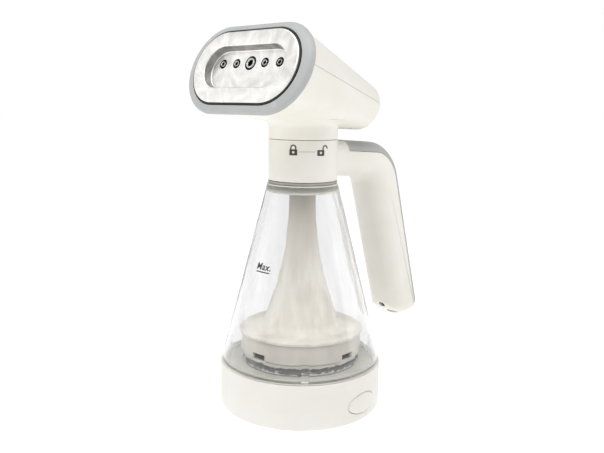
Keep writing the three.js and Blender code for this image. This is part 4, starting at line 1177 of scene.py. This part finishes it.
finished("head_upper_half", upper, "handset", ivory, "ivory_plastic", "head_upper_shell")

# %% [markdown]
# ## The face
# The face is a stack of stadium rings: a grey bezel with a flat front and a rounded shoulder, a
# thin black gasket, and the metal plate with a long pocket. Five nozzles stand in the pocket, each
# in its own round sink, and the middle one is bigger. All are made about Y at the origin, and one
# matrix sets them on the tilted face.

# %% Bezel and gasket
PLATE_WIDTH, PLATE_HEIGHT, BEZEL_WIDTH, BEZEL_HEIGHT = 84.8, 44.9, 100.4, 56.0
PLATE_FLAT = (PLATE_WIDTH - PLATE_HEIGHT) / 2
BEZEL_OUTER, BEZEL_INNER = BEZEL_HEIGHT / 2, PLATE_HEIGHT / 2 + 1.15
BEZEL_FLAT = (BEZEL_WIDTH - BEZEL_HEIGHT) / 2


def bezel_flat(radius, depth):
    """Half of the flat stretch, which grows from the plate's to the bezel's outside."""
    return mix(PLATE_FLAT, BEZEL_FLAT, (radius - BEZEL_INNER) / (BEZEL_OUTER - BEZEL_INNER))


def plate_flat(radius, depth):
    """Half of the flat stretch of the plate."""
    return PLATE_FLAT


bezel_front, bezel_back = BEZEL_SETBACK, BEZEL_SETBACK + BEZEL_DEPTH
bezel = stadium([
    (BEZEL_INNER, bezel_front - 0.3, 0.35), (BEZEL_OUTER - 3.3, bezel_front, 0.4),
    (BEZEL_OUTER - 1.0, bezel_front + 1.0, 1.0), (BEZEL_OUTER, bezel_front + 2.9, 1.2),
    (BEZEL_OUTER, bezel_back, 0.5), (BEZEL_OUTER - 3.2, bezel_back, 0.2),
    (BEZEL_INNER, bezel_front + 3, 0.2),
], bezel_flat)
finished("bezel_ring", moved(bezel, head_frame), "handset", bezel_grey, "mid_grey_plastic", "bezel")
thin = PLATE_HEIGHT / 2 + GAP
black_line = stadium([(thin, 0.9, 0.1), (thin + 0.55, 0.9, 0.1), (thin + 0.55, 4.2, 0), (thin, 4.2, 0)],
                     plate_flat)
finished("plate_seal", moved(black_line, head_frame), "handset", black, "dark_rubber", "plate_gasket")

# %% Steam plate
POCKET, POCKET_DEPTH, NOZZLE_RISE, SINK_MARGIN, SINK_DEPTH = 13.1, 5.5, 4.2, 1.0, 1.1
NOZZLES = [(-23.6, 2.0), (-11.8, 2.0), (0.0, 3.4), (11.8, 2.0), (23.6, 2.0)]  # place and radius


def nozzle_place(x):
    """The frame of one nozzle: its z leads into the face."""
    return Matrix.Translation((x, 0, NOZZLE_RISE)) @ LAY_BACK


def along_face(radius, low, high, x, steps=40):
    """A round bar that points into the face."""
    return moved(rod(radius, low, high, steps), nozzle_place(x))


plate = stadium([
    (0, POCKET_DEPTH, 0), (POCKET - 0.9, POCKET_DEPTH, 0.8), (POCKET + 0.1, 0, 0.7),
    (PLATE_HEIGHT / 2, 0, 0.9), (PLATE_HEIGHT / 2, 3.5, 0.2), (POCKET + 2.5, 3.5, 0),
    (POCKET + 1.2, POCKET_DEPTH + 2, 0), (0, POCKET_DEPTH + 2, 0),
], plate_flat)
sinks = [along_face(radius + SINK_MARGIN, 0, POCKET_DEPTH + SINK_DEPTH, x) for x, radius in NOZZLES]
holes = [along_face(radius + GAP, 0, 12, x) for x, radius in NOZZLES]
plate = combine(combine(plate, *sinks), *holes)


def plate_part(point):
    """Which finish a point of the plate takes: 0 the face, 1 a sink in painted shade, 2 the pocket's wall in
    painted shade and reflection.
    """
    from_line = math.hypot(max(abs(point.x) - PLATE_FLAT, 0), point.z)
    to_nozzles = [math.hypot(point.x - x, point.z - NOZZLE_RISE) - radius for x, radius in NOZZLES]
    if point.y > POCKET_DEPTH + 0.02 and min(to_nozzles) < SINK_MARGIN:
        return 1
    return 2 if 0.5 < point.y < POCKET_DEPTH - 0.2 and from_line < POCKET + 0.2 else 0


for face in plate.faces:
    face.material_index = plate_part(face.calc_center_median())
steam_face = finished("steam_face", moved(plate, head_frame), "handset", plate_metal, "cast_aluminium",
                      "steam_plate")
steam_face.data.materials.append(shade_dark_metal)
steam_face.data.materials.append(pocket_shade_metal)

# %% Nozzles
for number, (x, radius) in enumerate(NOZZLES, 1):
    bore, tip = radius * 0.58, POCKET_DEPTH - 0.5
    nozzle = turned([
        (bore, tip + 0.5, 0.2), (bore + 0.35, tip, 0.1), (radius - 0.3, tip, 0.25),
        (radius, tip + 0.9, 0.2), (radius, 7.3, 0), (bore, 7.3, 0),
    ], steps=48, segments=3)
    # The bore's faces take the near-black metal, as painted shade.
    for face in nozzle.faces:
        centre = face.calc_center_median()
        face.material_index = 1 if math.hypot(centre.x, centre.y) < bore + 0.02 else 0
    made = finished(f"nozzle_{number}_tube", moved(nozzle, head_frame @ nozzle_place(x)), "handset",
                    steel, "steel", f"nozzle_{number}")
    made.data.materials.append(shade_dark_metal)

# %% [markdown]
# ## Printed marks
# Two padlocks on the collar show where the tank locks and where it comes off, with a fine line
# between them, and a level mark on the tank shows how far to fill it. Each mark is drawn flat,
# thickened by a hair, cut into narrow strips so that it can bend, and wrapped round its wall. The
# ink lies just outside the surface, because two surfaces in one place would flicker.

# %% Drawing and wrapping
INK, LIFT = 0.05, 0.03  # the ink's thickness, and its gap from the wall
STRIP = 0.4  # width of the strips that a drawing is cut into


def flat_mark(a, b):
    """A point of a drawing: along the wall and up."""
    return Vector((a, 0, b))


def rectangle(left, right, low, high, rounding=0.0):
    """A flat plate with rounded corners."""
    return outline([(left, low, rounding), (right, low, rounding), (right, high, rounding),
                    (left, high, rounding)], flat_mark, 4)


def arch(inner, outer, spring_z, right_leg, left_leg, x=0.0):
    """A padlock's shackle: half a ring with a leg down on each side."""
    shape = bmesh.new()
    ends = [shape.verts.new((x + inner, 0, spring_z)), shape.verts.new((x + outer, 0, spring_z))]
    edge = shape.edges.new(ends)
    for length, turn in ((right_leg, 0), (left_leg, math.pi)):
        if turn:
            bmesh.ops.spin(shape, geom=[*ends, edge], cent=(x, 0, spring_z), axis=(0, -1, 0),
                           angle=turn, steps=16)
            ends = [v for v in shape.verts if v.co.x < x and abs(v.co.z - spring_z) < 1e-3]
            edge = next(e for e in shape.edges if set(e.verts) == set(ends))
        leg = bmesh.ops.extrude_edge_only(shape, edges=[edge])["geom"]
        down = [part for part in leg if isinstance(part, bmesh.types.BMVert)]
        bmesh.ops.translate(shape, verts=down, vec=(0, 0, -length))
    return shape


def x_span(shape):
    """The least and the greatest x of a shape."""
    return min(v.co.x for v in shape.verts), max(v.co.x for v in shape.verts)


def together(*shapes):
    """Several flat shapes in one mesh."""
    whole = bmesh.new()
    for shape in shapes:
        mesh = bpy.data.meshes.new("part")
        shape.to_mesh(mesh)
        shape.free()
        whole.from_mesh(mesh)
        bpy.data.meshes.remove(mesh)
    return whole


def printed(name, shape, radius_at, angle, height, finish, body, slot):
    """Wraps a flat drawing round a wall, centred at an angle from the front, and lifts it."""
    low, high = x_span(shape)
    strips = max(2, int((high - low) / STRIP))
    for i in range(1, strips):
        bmesh.ops.bisect_plane(
            shape, geom=shape.verts[:] + shape.edges[:] + shape.faces[:],
            plane_co=(low + (high - low) * i / strips, 0, 0), plane_no=(1, 0, 0),
        )
    shape = thicken(shape, (0, INK, 0))
    for v in shape.verts:
        up = height + v.co.z
        turn = angle + v.co.x / radius_at(up)
        reach = radius_at(up) + LIFT + v.co.y
        v.co = (reach * math.sin(turn), -reach * math.cos(turn), up)
    face_out(shape)
    return finished(name, shape, body, finish, slot)


# %% Padlocks
def padlock(is_open):
    """A padlock drawn flat: the body with its keyhole, and the shackle."""
    case = rectangle(-2.2, 2.2, -3.1, 0.3, 0.35)
    keyhole = rectangle(-0.65, 0.65, -2.0, -0.7, 0.3)
    plate_case, plate_hole = thicken(case, (0, 1, 0)), thicken(keyhole, (0, 3, 0))
    shift(plate_hole, (0, -1, 0))
    cut_case = combine(plate_case, plate_hole)
    for face in [f for f in cut_case.faces if f.calc_center_median().y > 1e-4]:
        cut_case.faces.remove(face)
    loose = [v for v in cut_case.verts if not v.link_faces]
    bmesh.ops.delete(cut_case, geom=loose, context="VERTS")
    shackle = arch(1.0, 1.75, 1.35, 0.35, 1.15, 2.75) if is_open else arch(1.0, 1.75, 1.35, 1.15, 1.15)
    whole = together(cut_case, shackle)
    stretch(whole, (1.15, 1, 1.08))
    return whole


ink_grey = plastic("print_dark_grey", linear(74, 73, 70), linear(62, 61, 59), low=0.4, high=0.55,
                   depth=0.05, rubbed_and_sheen=linear(110, 109, 105))
ink_line = plastic("print_fine_grey", linear(168, 166, 158), linear(156, 154, 147), low=0.4, high=0.55)
ink_black = plastic("print_black", linear(30, 30, 30), linear(20, 20, 20), low=0.3, high=0.5,
                    depth=0.05, rubbed_and_sheen=linear(70, 70, 70))
MARK_Z = 171.6


def collar_wall(height):
    """The collar is the same all the way up."""
    return COLLAR_RADIUS


CLOSED_AT, OPEN_AT = math.radians(25.8), math.radians(71.0)
printed("mark_locked", padlock(False), collar_wall, CLOSED_AT, MARK_Z, ink_grey, "handset",
        "mid_grey_plastic")
printed("mark_unlocked", padlock(True), collar_wall, OPEN_AT, MARK_Z - 0.3, ink_grey, "handset",
        "mid_grey_plastic")
reach = (OPEN_AT - CLOSED_AT) * COLLAR_RADIUS / 2 - 3.6
printed("mark_line", rectangle(-reach, reach, -0.14, 0.14), collar_wall, (CLOSED_AT + OPEN_AT) / 2,
        MARK_Z - 1.1, ink_line, "handset", "mid_grey_plastic")

# %% Fill mark
MARK_WIDTH = 11.8
letters = bpy.data.curves.new("fill_mark", "FONT")
letters.body = "Max."
letters.size = 6.0
letters.offset = 0.12
letters.space_character = 1.08
letters.shear = 0.22
letters.align_x = "CENTER"
writing = bpy.data.objects.new("fill_mark", letters)
scene.collection.objects.link(writing)
flat_text = writing.to_mesh()
text_shape = bmesh.new()
text_shape.from_mesh(flat_text)
writing.to_mesh_clear()
bpy.data.objects.remove(writing)
turn_by(text_shape, Matrix.Rotation(math.pi / 2, 3, "X"))
bmesh.ops.remove_doubles(text_shape, verts=text_shape.verts[:], dist=1e-3)
left_end, right_end = x_span(text_shape)
widen = MARK_WIDTH / (right_end - left_end)
stretch(text_shape, (widen, 1, 1))
left_end, right_end = left_end * widen, right_end * widen
print("fill mark is", round(right_end - left_end, 1), "mm wide")
underline = rectangle(left_end, right_end - 0.4, -1.75, -1.05)
printed("mark_fill_level", together(text_shape, underline), tank_radius, 0.0, 96.4, ink_black,
        "base_body", "black_plastic")

# %% [markdown]
# ## Pieces that keep their CAD mesh
# Springs, hooks, screws, hoses, the pump and the boiler are shut inside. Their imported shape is
# right, so they stay as they are and only take a finish from the recipes above.

# %% Finishes of the inner pieces
inner = {
    deck_grey: ["base_deck"],
    pale_grey: ["latch_hook_right", "latch_hook_left", "bayonet_ring", "tank_connector",
                "suction_filter"],
    steel: [*(f"base_screw_{i}" for i in range(1, 5)), *(f"neck_screw_{i}" for i in range(1, 4)),
            "release_spring_right", "release_spring_left", "steam_button_spring",
            "head_screw_left", "head_screw_right", "thermostat"],
    raw_metal: ["steam_chamber", "heating_element"],
    hose_white: ["inlet_hose", "outlet_hose", "suction_tube", "thermal_fuse"],
    black: ["pump", "microswitch"],
    rubber_seal: ["mouth_gasket"],
    board_green: ["control_board"],
}
for finish, names in inner.items():
    for name in names:
        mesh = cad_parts[name].data
        mesh.materials.clear()
        mesh.materials.append(finish)
print("inner pieces:", sum(len(names) for names in inner.values()))

# %% [markdown]
# ## Floor
# A pale plain floor, far wider than the view, so that its edge melts into the white world. A
# little light of its own keeps it pale at a distance, and the soft shadow under the base stays.

# %% Floor and finish
floor_shape = bmesh.new()
bmesh.ops.create_circle(floor_shape, cap_ends=True, segments=96, radius=9)
floor_mesh = bpy.data.meshes.new("floor")
floor_shape.to_mesh(floor_mesh)
floor_shape.free()
floor = bpy.data.objects.new("floor", floor_mesh)
scene.collection.objects.link(floor)
floor.location.z = -0.0002
paper, tree, shader = material("pale_floor")
paper_cloud = use(tree, marks, Size=6.0, Low=0.7, High=0.9)
tree.links.new(blend_colour(tree, paper_cloud.outputs["Cloud"], (0.36, 0.36, 0.36, 1), (0.34, 0.34, 0.34, 1)),
               shader.inputs["Base Color"])
wire(tree, (paper_cloud, "Roughness", shader, "Roughness"))
shader.inputs["Specular IOR Level"].default_value = 0.0
shader.inputs["Emission Color"].default_value = (1, 1, 1, 1)
shader.inputs["Emission Strength"].default_value = 0.92
floor_mesh.materials.append(paper)
